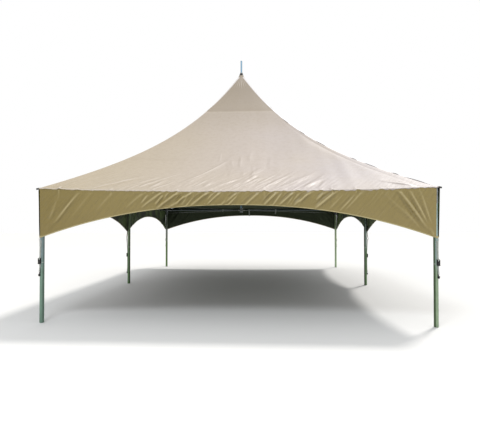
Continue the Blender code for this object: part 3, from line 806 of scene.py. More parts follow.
def fold(u, v, start, end, width, height):
    """A tension fold: a soft ridge with a hollow beside it, which dies out at both ends."""
    run = np.subtract(end, start)
    length = np.hypot(*run)
    du, dv = u - start[0], v - start[1]
    along = np.clip((du * run[0] + dv * run[1]) / length**2, 0, 1)
    across = (du * run[1] - dv * run[0]) / length
    ridge = np.exp(-((across / width) ** 2)) - 0.6 * np.exp(-((across / width + 1.7) ** 2))
    return height * np.sin(np.pi * along) ** 0.8 * ridge


def strewn_folds(seed, count, left, right, low, high, headings, lengths, widths, heights):
    """Folds at drawn places between left and right and between low and high, with drawn headings in degrees."""
    draw = np.random.default_rng(seed)
    folds = []
    for _ in range(count):
        start = (draw.uniform(left, right), draw.uniform(low, high))
        heading = math.radians(draw.uniform(*headings))
        length = draw.uniform(*lengths)
        end = (start[0] + length * math.cos(heading), start[1] + length * math.sin(heading))
        folds.append((start, end, draw.uniform(*widths), draw.uniform(*heights)))
    return folds


def held_back(relief, limit=FALL_BACK):
    """Lets the cloth stand out freely, but stops it softly where it falls back on what holds it."""
    return np.where(relief < 0, limit * (1 - np.exp(-relief / limit)), relief)


def eave_pucker(side, along):
    """How far the gathered seam at the eave stands out, along one side."""
    seed = 40 + SIDE_NUMBERS[side]
    soft = waves(along, 0 * along, seed, 0.25, 0.9)
    short = waves(along, 0 * along, seed + 10, 0.07, 0.20)
    return 0.0030 * soft + 0.0090 * np.maximum(short, 0) ** 1.5


def shell(outer, thickness):
    """A closed thin sheet: a grid of points on its outer face, the inner face behind it and the rims between them."""
    rows, columns = outer.shape[:2]
    count = rows * columns
    points = np.concatenate([outer.reshape(-1, 3), (outer - thickness * grid_normals(outer)).reshape(-1, 3)])
    index = np.arange(count).reshape(rows, columns)
    face = np.stack([index[:-1, :-1], index[:-1, 1:], index[1:, 1:], index[1:, :-1]], axis=-1).reshape(-1, 4)
    border = np.concatenate([index[0, :], index[1:, -1], index[-1, -2::-1], index[-2:0:-1, 0]])
    rim = np.stack([border, np.roll(border, -1), np.roll(border, -1) + count, border + count], axis=-1)
    inner = face[:, [0, 3, 2, 1]] + count  # turned over, but split along the same diagonal as the outer face
    faces = np.concatenate([face, inner, rim]).tolist()
    return points, faces, [0] * len(face) + [1] * len(face) + [0] * len(rim)


def mark_bend(sheet, outer):
    """Stores how sharply the cloth bends at each point, in 1/m, for its material: crests above 0, hollows below."""
    normals = grid_normals(outer)
    bend = np.zeros(outer.shape[:2])
    for axis in (0, 1):
        grid, facing = np.moveaxis(outer, axis, 0), np.moveaxis(normals, axis, 0)
        before, here, after = grid[:-2], grid[1:-1], grid[2:]
        step = np.sum((after - before) ** 2, axis=-1) / 4
        np.moveaxis(bend, axis, 0)[1:-1] -= np.sum((before + after - 2 * here) * facing[1:-1], axis=-1) / step
    bend[[0, -1], :] = 0
    bend[:, [0, -1]] = 0
    stored = sheet.data.attributes.new("bend", "FLOAT", "POINT")
    stored.data.foreach_set("value", np.tile(bend.reshape(-1), 2))


def roof_folds(side):
    """Slanting folds above the eave and some faint upright ones over the middle, and the long ones in front."""
    seed = 70 + 10 * SIDE_NUMBERS[side]
    half = SIDES[side]["half"]
    span = (-0.8 * half, 0.7 * half)
    low_span = (-0.8 * half, 0.42 * half) if side == "front" else span
    low_sizes = ((42, 66), (0.25, 0.7), (0.032, 0.045), (0.004, 0.009))
    folds = strewn_folds(seed, int(9 * half), *low_span, 0.0, 0.30, *low_sizes)
    folds += strewn_folds(seed + 1, 12, -0.4, 0.6, 0.4, 1.4, (82, 98), (0.4, 0.8), (0.03, 0.04), (0.002, 0.004))
    if side == "front":
        return folds + FRONT_ROOF_FOLDS
    return folds + strewn_folds(seed + 2, 9, *span, 0.05, 0.3, (45, 62), (0.7, 1.5), (0.04, 0.05), (0.009, 0.015))


def hip_distance(points, side_x, side_y):
    """Level distance from a hip, which runs straight in plan from a corner to the mast."""
    corner = np.array([side_x * EDGE_X, side_y * EDGE_Y])
    heading = unit(np.array([MAST_X, 0]) - corner)
    away = points[..., :2] - corner
    return np.abs(away[..., 0] * heading[1] - away[..., 1] * heading[0])


def gore_points(side, across, share):
    """The membrane with its folds, its roll at the hips, the weld laps and the gathers at the crown."""
    facts = SIDES[side]
    flat = roof_surface(side, across, share)
    normals = grid_normals(flat)
    along = flat @ facts["along"]
    inward = facts["reach"] - flat @ facts["out"]
    from_hip = np.minimum.reduce([hip_distance(flat, x, y) for x in (-1, 1) for y in (-1, 1)])
    off_hip = 1 - np.exp(-((from_hip / 0.10) ** 2))
    seed = 20 + SIDE_NUMBERS[side]
    relief = sum(fold(along, inward, *each) for each in roof_folds(side))
    relief += 0.0030 * waves(along, 0.3 * inward, seed, 0.25, 0.9)
    relief += 0.0050 * waves(along, inward, seed + 5, 1.2, 3.5)
    relief += eave_pucker(side, along) * np.exp(-inward / 0.05)
    relief *= off_hip * (1 - share**6)
    level_hip = np.clip(1.4 * (1 - share), 0, 1)
    relief += HIP_RISE * level_hip * from_hip * np.exp(-from_hip / HIP_ROLL)
    relief += 0.0009 * np.sin(9 * np.pi * across) * off_hip * np.exp(-(((share - 0.95) / 0.035) ** 2))
    for weld in WELD_SHARES:
        relief += WELD_STEP * np.where(share > weld, np.exp(-(share - weld) / 0.05), 0.0)
    return flat + held_back(relief)[..., None] * normals, normals


def lip_offset(degrees, out):
    """From the edge of the gore to a place on the lip that rolls over the eave."""
    angle, start = math.radians(degrees), math.radians(LIP_START)
    return LIP_RADIUS * ((math.sin(angle) - math.sin(start)) * out + (math.cos(angle) - math.cos(start)) * UP)


def roof_gore(side, columns, rows=92):
    """Points on a gore's outer face, row by row from the loose edge of its lip up to the crown."""
    spread = np.linspace(-1, 1, columns + 1)
    share_line = np.linspace((LIP_RADIUS / SIDES[side]["reach"]) ** (1 / 1.5), 1, rows + 1) ** 1.5
    for weld in WELD_SHARES:
        nearest = int(np.abs(share_line - weld).argmin())
        share_line[nearest : nearest + 2] = weld, weld + WELD_WIDTH
    share, across = np.meshgrid(share_line, 1.15 * spread - 0.15 * spread**3, indexing="ij")
    points, _ = gore_points(side, across, share)
    out = SIDES[side]["out"]
    along = points[0] @ SIDES[side]["along"]
    uneven = 0.012 + 0.002 * np.clip(along, -2, 2)
    hang = LIP_HANG + uneven * waves(along, 0 * along, 60 + SIDE_NUMBERS[side], 0.07, 0.30)
    stand = (0.0040 + np.maximum(eave_pucker(side, along), 0))[:, None] * out
    lip = [points[0] + lip_offset(LIP_TURNS[0][0], out) + stand - np.maximum(hang, 0.001)[:, None] * UP]
    lip += [points[0] + lip_offset(degrees, out) + stand_share * stand for degrees, stand_share in LIP_TURNS]
    return np.concatenate([np.array(lip), points])


WAVE_REPEAT = 0.314  # metres between the bands of a wave texture at scale 1


def cloth_relief(material, place_on, directions, slant, stretch, detail, depth, fine, fine_depth):
    """Bumps for the bands of the weave, for slanting creases over it and for the film's own fine unevenness."""
    cloth = {"Vector": place_on, "Scale": WAVE_REPEAT / 0.009}
    bands = [add_node(material, "TexWave", cloth, "Fac", bands_direction=direction) for direction in directions]
    woven = add_node(material, "Math", {0: bands[0], 1: bands[1]}, operation="MULTIPLY")
    slanted = {"Vector": place_on, "Rotation": slant, "Scale": stretch}
    slanted = add_node(material, "Mapping", slanted, vector_type="TEXTURE")
    creases = add_node(material, "TexNoise", {"Vector": slanted, "Scale": 1.0, "Detail": detail})
    relief = add_node(material, "Bump", {"Height": woven, "Strength": 0.03, "Distance": 0.001})
    relief = add_node(material, "Bump", {"Height": creases, "Strength": depth, "Distance": 0.05, "Normal": relief})
    return add_node(material, "Bump", {"Height": fine, "Strength": fine_depth, "Distance": 0.004, "Normal": relief})


# PVC-coated polyester, outside: a pale tan film with a semi-gloss coat. Its pinkish white cast is painted reflection
# of the sky; it is made yellower and darker to the left and darker towards the crown as painted shade, cooler to the
# right as painted reflection, with a painted highlight along the lap of the upper weld and on the crests of its folds,
# and painted shade with some dust in their hollows. The cloth under the film is really woven 1.4 mm apart and is drawn
# 9 mm apart, so that a close view shows it.
tan_pvc, place_on = new_finish("pvc_coated_polyester_tan")
broad = add_node(tan_pvc, "TexNoise", {"Vector": place_on, "Scale": 0.8, "Detail": 3.0})
fine = add_node(tan_pvc, "TexNoise", {"Vector": place_on, "Scale": 14.0, "Detail": 6.0})
bend = add_node(tan_pvc, "Attribute", output="Fac", attribute_name="bend")
x, _, z = add_node(tan_pvc, "SeparateXYZ", {"Vector": place_on}).node.outputs
from_weld = add_node(tan_pvc, "Math", {0: z, 1: UPPER_LAP_HEIGHT}, operation="SUBTRACT")
from_weld = add_node(tan_pvc, "Math", {0: from_weld}, operation="ABSOLUTE")
tone = washed(
    tan_pvc,
    linear("#A19791"),
    (x, -3.0, 0.6, 0.75, 0.0, "#958764"),  # painted shade: warmer and darker to the left, away from the light
    (x, 0.4, 2.6, 0.0, 0.8, "#8A8487"),  # painted reflection of the sky: cooler to the right
    (broad, 0.35, 0.65, 0.0, 0.35, "#9B8F7D"),
    (z, 4.120, 4.180, 0.0, 0.50, "#877B6A"),  # darker above the upper weld
    # painted shade: darker towards the crown, where the steep cloth takes less light
    (z, 3.5, 5.3, 0.0, 0.45, "#756A57"),
    (from_weld, 0.010, 0.035, 0.15, 0.0, "#C2B7A8"),  # painted highlight along the lap below the upper weld
    (fine, 0.45, 0.8, 0.0, 0.25, "#857867"),
    # painted highlight on the crests of the folds, with some whitening of the bent film
    (bend, 1.5, 12.0, 0.0, 0.36, "#CFC7C0"),
    # painted shade in the hollows of the folds, with some dust
    (bend, -1.5, -10.0, 0.0, 0.40, "#7D715F"),
)
gloss = add_node(tan_pvc, "MapRange", {"Value": fine, "To Min": 0.42, "To Max": 0.56})
near_eave = {"Value": z, "From Min": 2.15, "From Max": 2.62, "To Min": 0.75, "To Max": 0.02}
to_left = {"Value": x, "From Min": 0.2, "From Max": 1.7, "To Min": 1.0, "To Max": 0.12}
near_eave, to_left = add_node(tan_pvc, "MapRange", near_eave), add_node(tan_pvc, "MapRange", to_left)
depth = add_node(tan_pvc, "Math", {0: near_eave, 1: to_left}, operation="MULTIPLY")
slant = (0, 0, math.radians(56))
relief = cloth_relief(tan_pvc, place_on, "XY", slant, (0.50, 0.055, 0.50), 3.0, depth, fine, 0.08)
surface = {"Base Color": tone, "Roughness": gloss, "Normal": relief, "Specular IOR Level": 0.36}
give_skin(tan_pvc, surface | {"Coat Weight": 0.12, "Coat Roughness": 0.40})

# PVC-coated polyester, inside: a near-black film that swallows the light under the roof. Its green tint and paler
# clouds are painted bounce light from grass.
blockout_pvc, place_on, _, tone = clouded("blockout_pvc_underside", 1.6, 5.0, "#293021", "#3B4530")
grain = add_node(blockout_pvc, "TexNoise", {"Vector": place_on, "Scale": 160.0, "Detail": 2.0})
give_skin(blockout_pvc, {"Base Color": tone, "Roughness": 0.68, "Specular IOR Level": 0.25}, (grain, 0.2, 0.001))

GORE_CUTS = {  # the rectangle that each gore is cut from, its own area, in metres, and its columns of faces
    "front": ((6.19, 5.75), 16.8, 290),
    "back": ((6.19, 5.75), 16.8, 200),
    "left": ((9.23, 4.60), 19.0, 260),
    "right": ((9.23, 4.60), 19.7, 290),
}
gores = {}
for side, (_, _, columns) in GORE_CUTS.items():
    grid = roof_gore(side, columns)
    shape = shell(grid, COVER_THICKNESS)
    gores[side] = piece("roof_gore_" + side, [shape], [tan_pvc, blockout_pvc], ["roof_" + side])
    mark_bend(gores[side], grid)

# Hip welds
# A 46 mm strip of the same coated cloth is welded over each hip, where two gores meet, from the corner to the crown.
# It hides the raw edges and takes the pull.

HIP_STRIP_HALF = 0.023
HIP_STRIP_PROUD = 0.0010
HIP_STRIP_THICKNESS = 0.0010
HIP_STRIP_SHARES = np.linspace(0.003, 0.985, 240)
RIDGE_PROUD = 0.0006
# Where the strips over the two hips on the right have lifted along one edge, as shares of the way up
LIFTED = [(0.064, 0.040), (0.138, 0.013), (0.232, 0.026), (0.304, 0.013), (0.461, 0.027), (0.565, 0.017)]
LIFTED += [(0.665, 0.017)]
LIFT_HEIGHT = 0.008

# PVC-coated polyester strip: the roof's cloth, painted a little paler and cooler so that it shows no darker than the
# gores beside it, with a painted highlight that goes nearly white on the side where the sun stands.
strip_pvc, place_on, broad, tone = clouded("pvc_coated_polyester_hip_strip_painted_light", 3.0, 5.0, "#B4ADA8", "#C5C0BE")
x, _, _ = add_node(strip_pvc, "SeparateXYZ", {"Vector": place_on}).node.outputs
# painted highlight: nearly white towards the right, where the sun stands
tone = washed(strip_pvc, tone, (x, -0.3, 0.9, 0.0, 0.9, "#E2E1E6"))
surface = {"Base Color": tone, "Roughness": 0.42, "Coat Weight": 0.3, "Coat Roughness": 0.3}
give_skin(strip_pvc, surface, (broad, 0.3, 0.01))


def strip_line(side, corner, part):
    """A line up a hip's strip on one of its gores, this part of the strip's half width away from the hip."""
    facts = SIDES[side]
    toward = 1.0 if corner @ facts["along"] > 0 else -1.0
    sine = abs(np.cross(facts["along"], unit(np.array(MAST_PLACE) - corner))[2])
    gap = np.minimum(HIP_STRIP_HALF * abs(part) / (facts["half"] * (1 - HIP_STRIP_SHARES) * sine), 0.9)
    across = toward * (1 - gap)
    across = np.stack([across - 0.002 * toward, across, across + 0.0005 * toward], axis=-1)
    points, normals = gore_points(side, across, np.repeat(HIP_STRIP_SHARES[:, None], 3, axis=1))
    lift = np.full_like(HIP_STRIP_SHARES, HIP_STRIP_PROUD * (1.0 if abs(part) < 1 else 0.35))
    if part == -1 and corner[0] > 0:
        for place_up, length in LIFTED:
            lift += LIFT_HEIGHT * np.exp(-(((HIP_STRIP_SHARES - place_up) / length) ** 4))
    return points[:, 1] + lift[:, None] * normals[:, 1] * np.sign(normals[:, 1, 2:3])


for name, (side_x, side_y) in CORNERS.items():
    end_side, long_side = name.split("_")
    corner = np.array([side_x * EDGE_X, side_y * EDGE_Y, 0])
    toward = 1.0 if corner @ SIDES[end_side]["along"] > 0 else -1.0
    ridge = roof_surface(end_side, np.full_like(HIP_STRIP_SHARES, toward), HIP_STRIP_SHARES)
    ridge[:, 2] += HIP_STRIP_PROUD + RIDGE_PROUD
    ridge[:, 2] += 0.0022 * waves(ridge[:, 0], ridge[:, 1], 90 + 3 * side_x + side_y, 0.10, 0.45)
    lines = [strip_line(end_side, corner, part) for part in (-1.0, -0.66, -0.33)]
    lines += [ridge, *[strip_line(long_side, corner, part) for part in (0.33, 0.66, 1.0)]]
    outer = np.stack(lines, axis=1)
    if np.mean(grid_normals(outer)[..., 2]) < 0:
        outer = outer[:, ::-1]
    shape = shell(outer, HIP_STRIP_THICKNESS)
    piece("hip_strip_" + name, [shape], [strip_pvc, blockout_pvc])

HOLDERS = {  # what each gore lies on
    "front": ["tube_rail_front", "cast_corner_fitting_front_left", "cast_corner_fitting_front_right"],
    "back": ["tube_rail_back", "cast_corner_fitting_back_left", "cast_corner_fitting_back_right"],
    "left": [
        "tube_rail_left_front",
        "tube_rail_left_back",
        "cast_corner_fitting_front_left",
        "cast_tee_fitting_middle_left",
        "cast_corner_fitting_back_left",
    ],
    "right": [
        "tube_rail_right_front",
        "tube_rail_right_back",
        "cast_corner_fitting_front_right",
        "cast_tee_fitting_middle_right",
        "cast_corner_fitting_back_right",
    ],
}
for side, gore in gores.items():
    flat, area, _ = GORE_CUTS[side]
    holders = [*HOLDERS[side], "mast_tube"]

# Corner tabs
# A short pull tab of black webbing is sewn under each corner of the roof, for drawing the cover over its fitting.

CORNER_TAB_REACH = 0.034
CORNER_TAB_ROOT = 0.030  # how much of it lies under the roof
CORNER_TAB_WIDTH = 0.026
CORNER_TAB_THICKNESS = 0.006
black_webbing, _, _, tone = clouded("black_woven_webbing", 300.0, 2.0, "#121211", "#35342F")
give_skin(black_webbing, {"Base Color": tone, "Roughness": 0.85})

for name, (side_x, side_y) in CORNERS.items():
    corner = np.array([side_x * EDGE_X, side_y * EDGE_Y, CORNER_EAVE_HEIGHT - 0.006])
    outward = unit(np.array([side_x * 1.0, side_y * 0.5, 0]))
    root, end = corner - CORNER_TAB_ROOT * outward + 0.003 * UP, corner + CORNER_TAB_REACH * outward - 0.010 * UP
    section = flat_bar(CORNER_TAB_WIDTH, CORNER_TAB_THICKNESS)
    shape = swept(rounded([root, corner, end], 0.012), np.cross(outward, UP), section)
    tab = piece("corner_tab_" + name, [shape], [black_webbing])
    flat = (CORNER_TAB_WIDTH, CORNER_TAB_REACH + CORNER_TAB_ROOT)

# Valances
# The skirt of the cover, of the same coated cloth, one piece along each side. It is sewn under the roof's lip, cut
# in wide arches between the legs and drawn down at its low corners, which pulls slanting folds across it.

VALANCE_INSET = 0.0020  # behind the roof's lip
VALANCE_TOP_DROP = 0.0035
VALANCE_LOW_HEIGHT = 1.350
END_ARCH_HEIGHT = 1.845
SIDE_ARCH_HEIGHT = 1.765
ARCH_POWER = 2.2
TAB_HALF_WIDTH = 0.030
FLARE_REACH = 0.25  # how far from its ends a skirt starts to flare
HEM_WIDTH = 0.016
HEM_THICKNESS = 0.0042
# How far each end, left and right as seen from outside, goes past the leg's centre at the top and at the bottom,
# and how far it flares outwards there
SKIRT_ENDS = {
    "front": ((0.026, 0.014, 0.0, 0.0), (0.004, -0.008, 0.0, 0.0)),
    "back": ((0.016, 0.004, 0.0, 0.0), (0.016, 0.004, 0.0, 0.0)),
    "left": ((0.024, 0.014, 0.004, -0.003), (0.032, 0.018, 0.010, -0.002)),
    "right": ((0.034, 0.028, 0.014, -0.004), (0.024, 0.014, 0.004, -0.003)),
}
# The front valance's longest folds, as (along, height) at both ends, half width and height
FRONT_VALANCE_FOLDS = [
    ((-2.96, 1.46), (-2.38, 2.10), 0.036, 0.013),
    ((-2.84, 1.54), (-2.46, 2.04), 0.026, 0.009),
    ((-3.00, 1.40), (-2.74, 2.06), 0.034, 0.008),
    ((-2.62, 1.58), (-2.20, 2.10), 0.040, 0.008),
    ((-2.20, 1.72), (-1.84, 2.12), 0.034, 0.008),
    ((-1.72, 1.78), (-1.34, 2.11), 0.030, 0.008),
    ((-1.46, 1.80), (-1.04, 2.12), 0.026, 0.018),
    ((-1.24, 1.77), (-0.78, 2.12), 0.028, 0.026),
    ((-1.02, 1.80), (-0.56, 2.12), 0.024, 0.022),
    ((-0.70, 1.82), (-0.32, 2.12), 0.026, 0.024),
    ((-0.44, 1.84), (-0.14, 2.12), 0.022, 0.016),
    ((-0.16, 1.85), (0.12, 2.11), 0.024, 0.012),
    ((0.16, 1.84), (0.46, 2.12), 0.024, 0.012),
    ((0.44, 1.83), (0.72, 2.11), 0.024, 0.020),
    ((0.68, 1.84), (1.00, 2.12), 0.022, 0.017),
    ((0.90, 1.83), (1.26, 2.12), 0.026, 0.023),
    ((1.22, 1.78), (1.62, 2.11), 0.028, 0.022),
    ((1.66, 1.74), (1.98, 2.08), 0.026, 0.008),
    ((3.03, 1.34), (2.44, 2.14), 0.032, 0.028),
    ((3.04, 1.34), (2.62, 2.13), 0.026, 0.016),
    ((3.02, 1.40), (2.80, 2.10), 0.026, 0.010),
    ((2.92, 1.42), (2.22, 2.06), 0.038, 0.009),
]


def bays(side):
    """The middles of a side's bays, half a bay's length, and the distance from the side's middle to its end leg."""
    if side in ("front", "back"):
        return [0], HALF_WIDTH, HALF_WIDTH
    return [-HALF_LENGTH / 2, HALF_LENGTH / 2], HALF_LENGTH / 2, HALF_LENGTH


def arch_height(side, along):
    """The cut edge of the skirt: level tabs at the legs and an arch in each bay."""
    centres, half_bay, _ = bays(side)
    top = SIDE_ARCH_HEIGHT if len(centres) == 2 else END_ARCH_HEIGHT
    offset = np.abs(along[..., None] - np.array(centres)).min(axis=-1)
    reach = np.minimum(1, offset / (half_bay - TAB_HALF_WIDTH))
    return top - (top - VALANCE_LOW_HEIGHT) * reach**ARCH_POWER


def valance_folds(side):
    """Folds that fan up and inwards from each low corner, and short ones between the eave and the arch."""
    seed = 130 + 10 * SIDE_NUMBERS[side]
    if side == "front":
        sizes = ((42, 58), (0.20, 0.42), (0.016, 0.026), (0.004, 0.009))
        return FRONT_VALANCE_FOLDS + strewn_folds(seed, 24, -1.5, 2.0, 1.74, 1.96, *sizes)
    centres, half_bay, _ = bays(side)
    folds = []
    for number, centre in enumerate(centres):
        low, high = centre - half_bay, centre + half_bay
        widths = (0.034, 0.046)
        fans, shorts = ((0.5, 0.8), widths, (0.008, 0.014)), ((0.2, 0.4), widths, (0.004, 0.008))
        bay_seed = seed + 3 * number
        folds += strewn_folds(bay_seed, 5, low + 0.05, low + 0.6, 1.40, 1.70, (42, 62), *fans)
        folds += strewn_folds(bay_seed + 1, 5, high - 0.6, high - 0.05, 1.40, 1.70, (118, 138), *fans)
        folds += strewn_folds(bay_seed + 2, 12, low + 0.5, high - 0.5, 1.75, 1.95, (40, 60), *shorts)
    return folds


def valance_grid(side, spacing, rows):
    """Points on the skirt's outer face, row by row from the arch up to the eave."""
    facts = SIDES[side]
    centres, _, half = bays(side)
    middle_tab = TAB_HALF_WIDTH if len(centres) == 2 else 0
    line = [
        [-half - 0.001],
        np.linspace(TAB_HALF_WIDTH - half, -middle_tab, int(half / spacing)),
        np.linspace(middle_tab, half - TAB_HALF_WIDTH, int(half / spacing)),
        [half + 0.001],
    ]
    line = np.concatenate(line)
    line = line[np.append(True, np.diff(line) > 1e-4)]
    share, along = np.meshgrid(np.linspace(0, 1, rows), line, indexing="ij")
    flare = 0 * along
    for sign, (top_reach, low_reach, top_flare, low_flare) in zip((-1, 1), SKIRT_ENDS[side]):
        near = np.clip((sign * along - (half - FLARE_REACH)) / FLARE_REACH, 0, 1)
        flare += near**2 * (low_flare + (top_flare - low_flare) * share)
        along = along + sign * near * (low_reach + (top_reach - low_reach) * share)
    low = arch_height(side, along)
    high = eave_height(side, along / facts["half"]) - VALANCE_TOP_DROP
    height = low + (high - low) * share
    edge = facts["half"] - np.abs(along)
    relief = sum(fold(along, height, *each) for each in valance_folds(side))
    relief += 0.0035 * waves(along, height, 160 + SIDE_NUMBERS[side], 0.35, 1.2)
    depth = high - height
    relief *= np.clip((depth - 0.012) / 0.05, 0, 1) * np.clip(edge / 0.09, 0.25, 1)
    relief += 0.010 * np.sin(np.pi * share) * np.clip(edge / 0.5, 0, 1)
    relief += eave_pucker(side, along) * np.exp(-depth / 0.06) * (1 - np.exp(-((edge / 0.12) ** 2)))
    legs = [-half, 0, half] if len(centres) == 2 else [-half, half]
    off_leg = np.abs(along[..., None] - np.array(legs)).min(axis=-1)
    free = np.clip((depth - 0.08) / 0.12, 0, 1) * np.clip((off_leg - 0.06) / 0.2, 0, 1)
    relief = held_back(relief, FALL_BACK - 0.010 * free) + flare
    plane = facts["reach"] - VALANCE_INSET
    return along[..., None] * facts["along"] + (plane + relief)[..., None] * facts["out"] + height[..., None] * UP


# PVC-coated polyester in the shade: the same film seen flat on, with a soft gloss and a faint weave. Its olive tan is
# the tan film as painted shade, greened like light from grass. It is paler towards the arches and deeper on the left,
# with painted highlights on the crests of its folds and painted shade with some dust in their hollows. The weave is
# drawn as coarse as the roof's.
# Painted shade: the roof's tan film darkened and greened for the shade the skirt hangs in.
olive_painted_shade_pvc, place_on, _, tone = clouded("pvc_coated_polyester_tan_in_painted_shade", 1.3, 4.0, "#746632", "#847441")
fine = add_node(olive_painted_shade_pvc, "TexNoise", {"Vector": place_on, "Scale": 16.0, "Detail": 6.0})
bend = add_node(olive_painted_shade_pvc, "Attribute", output="Fac", attribute_name="bend")
x, y, z = add_node(olive_painted_shade_pvc, "SeparateXYZ", {"Vector": place_on}).node.outputs
tone = washed(
    olive_painted_shade_pvc,
    tone,
    (z, 1.9, 1.35, 0.0, 0.30, "#8C7B4C"),
    (x, -1.6, -3.0, 0.0, 0.6, "#6B5B1B"),
    (fine, 0.5, 0.8, 0.0, 0.3, "#6F6240"),
    # painted highlight on the crests of the folds, with some whitening of the bent film
    (bend, 4.0, 36.0, 0.0, 0.36, "#C4B68C"),
    # painted shade in the hollows of the folds, with some dust
    (bend, -4.0, -28.0, 0.0, 0.30, "#554925"),
)
gloss = add_node(olive_painted_shade_pvc, "MapRange", {"Value": fine, "To Min": 0.36, "To Max": 0.52})
along_cloth = add_node(olive_painted_shade_pvc, "Math", {0: x, 1: y}, operation="ADD")
on_cloth = add_node(olive_painted_shade_pvc, "CombineXYZ", {"X": along_cloth, "Z": z})
slant = (0, math.radians(-50), 0)
relief = cloth_relief(olive_painted_shade_pvc, on_cloth, "XZ", slant, (0.42, 0.42, 0.050), 2.0, 0.5, fine, 0.10)
surface = {"Base Color": tone, "Roughness": gloss, "Normal": relief}
give_skin(olive_painted_shade_pvc, surface | {"Coat Weight": 0.25, "Coat Roughness": 0.30})

# The skirt's inner film catches green light near the legs, so it is a lighter, greener black than the roof's.
green_blockout_pvc, place_on = new_finish("blockout_pvc_skirt_lining")
cloud = add_node(green_blockout_pvc, "TexNoise", {"Vector": place_on, "Scale": 2.2, "Detail": 4.0})
tone = washed(green_blockout_pvc, linear("#27301F"), (cloud, 0.40, 0.66, 0.0, 1.0, "#56683A"))
give_skin(green_blockout_pvc, {"Base Color": tone, "Roughness": 0.66, "Specular IOR Level": 0.25})

# Hem tape: the same cloth folded double over the cut edge and stitched, olive with the skirt's painted shade, and
# paler than the skirt as a painted highlight where the fold catches the light.
hem_tape, _, wear, tone = clouded("folded_pvc_hem_tape", 24.0, 5.0, "#92865B", "#ACA178")
give_skin(hem_tape, {"Base Color": tone, "Roughness": 0.5}, (wear, 0.3, 0.002))

VALANCE_CUTS = {  # the strip that each skirt is cut from, its own area, in metres, its lining and its grid
    "front": ((6.14, 0.76), 2.45, blockout_pvc, (0.0115, 44)),
    "back": ((6.14, 0.76), 2.45, blockout_pvc, (0.0160, 34)),
    "left": ((9.18, 0.76), 4.15, green_blockout_pvc, (0.0165, 36)),
    "right": ((9.18, 0.76), 4.15, green_blockout_pvc, (0.0165, 36)),
}
skirt_grids = {}
for side, (flat, area, lining, fineness) in VALANCE_CUTS.items():
    grid = skirt_grids[side] = valance_grid(side, *fineness)
    shape = shell(grid, COVER_THICKNESS)
    skirt = piece("skirt_" + side, [shape], [olive_painted_shade_pvc, lining], ["valance_" + side])
    mark_bend(skirt, grid)
    out = SIDES[side]["out"]
    path = (grid - 0.5 * COVER_THICKNESS * out)[0] + (HEM_WIDTH / 2 - 0.0005) * UP
    shape = swept(path, out, flat_bar(HEM_WIDTH, HEM_THICKNESS))
    hem = piece("hem_" + side, [shape], [hem_tape])

# Rail ties
# Pale woven straps, 45 mm wide, sewn inside the cover and wound round the rails to hold it down. Their loose tails
# hang below the rail, three on each end rail and two in each side bay.

TIE_WIDTH = 0.045
TIE_THICKNESS = 0.0013
TIE_TURNS = 1.35
TIE_SLANT = 0.006
TIE_GAPS = (0.0010, 0.0026)  # off the rail, where it starts its turns and where it ends them
TIE_BOW = 0.010
TIES = {  # the place along the rail and the length of the tail
    "tube_rail_back": [(-0.99, 0.070), (-0.04, 0.216), (0.91, 0.145)],
    "tube_rail_front": [(-1.02, 0.085), (0.03, 0.120), (1.00, 0.075)],
    "tube_rail_left_front": [(-0.80, 0.060), (0.85, 0.110)],
    "tube_rail_left_back": [(-0.90, 0.075), (0.75, 0.050)],
    "tube_rail_right_front": [(-0.85, 0.055), (0.80, 0.090)],
    "tube_rail_right_back": [(-0.75, 0.100), (0.90, 0.065)],
}

# Woven polyester webbing: off-white, ribbed across, soft and matt, greyed with use, with painted shade in the grooves
# between its ribs. The ribs are really 1.6 mm apart and are drawn 4 mm apart, so that they show.
webbing_cloth, place_on = new_finish("woven_polyester_webbing")
dirt = add_node(webbing_cloth, "TexNoise", {"Vector": place_on, "Scale": 18.0, "Detail": 5.0})
ribs = {"Vector": place_on, "Scale": WAVE_REPEAT / 0.004}
ribs = add_node(webbing_cloth, "TexWave", ribs, "Fac", bands_direction="Z")
cords = {"Vector": place_on, "Scale": WAVE_REPEAT / 0.006}
cords = add_node(webbing_cloth, "TexWave", cords, "Fac", bands_direction="Y")
tone = linear("#9AA09B")
# grey dirt, then painted shade in the grooves between the ribs
tone = washed(webbing_cloth, tone, (dirt, 0.35, 0.7, 0.0, 1.0, "#7C847C"), (ribs, 0.0, 0.35, 0.35, 0.0, "#7E8271"))
woven = add_node(webbing_cloth, "Math", {0: ribs, 1: cords}, operation="ADD")
give_skin(webbing_cloth, {"Base Color": tone, "Roughness": 0.82, "Sheen Weight": 0.25}, (woven, 0.6, 0.001))


def strap(path, width, thickness):
    """Webbing or flat steel along a path, lying across Y."""
    tangents = unit(np.gradient(np.asarray(path, float), axis=0))
    return swept(path, np.cross((0, 1, 0), tangents), flat_bar(width, thickness))


def tie_path(tail, slant):
    """Wound from the top of the rail over its inner side, one turn and a bit, and then hanging free."""
    turn = np.linspace(np.pi / 2, -2 * np.pi * (TIE_TURNS - 0.1), 60)
    radius = np.linspace(RAIL_RADIUS + TIE_GAPS[0], RAIL_RADIUS + TIE_GAPS[1], 60)
    wound = np.stack([radius * np.cos(turn), 0 * turn, radius * np.sin(turn)], axis=-1)
    wound = wound[turn >= -2 * np.pi]
    drop = np.linspace(0, 1, 14)[1:]
    x, _, z = wound[-1]
    hanging = np.stack([x + TIE_BOW * np.sin(2.2 * drop) * drop, slant * drop**1.5, z - tail * drop], axis=-1)
    return np.concatenate([wound, hanging])


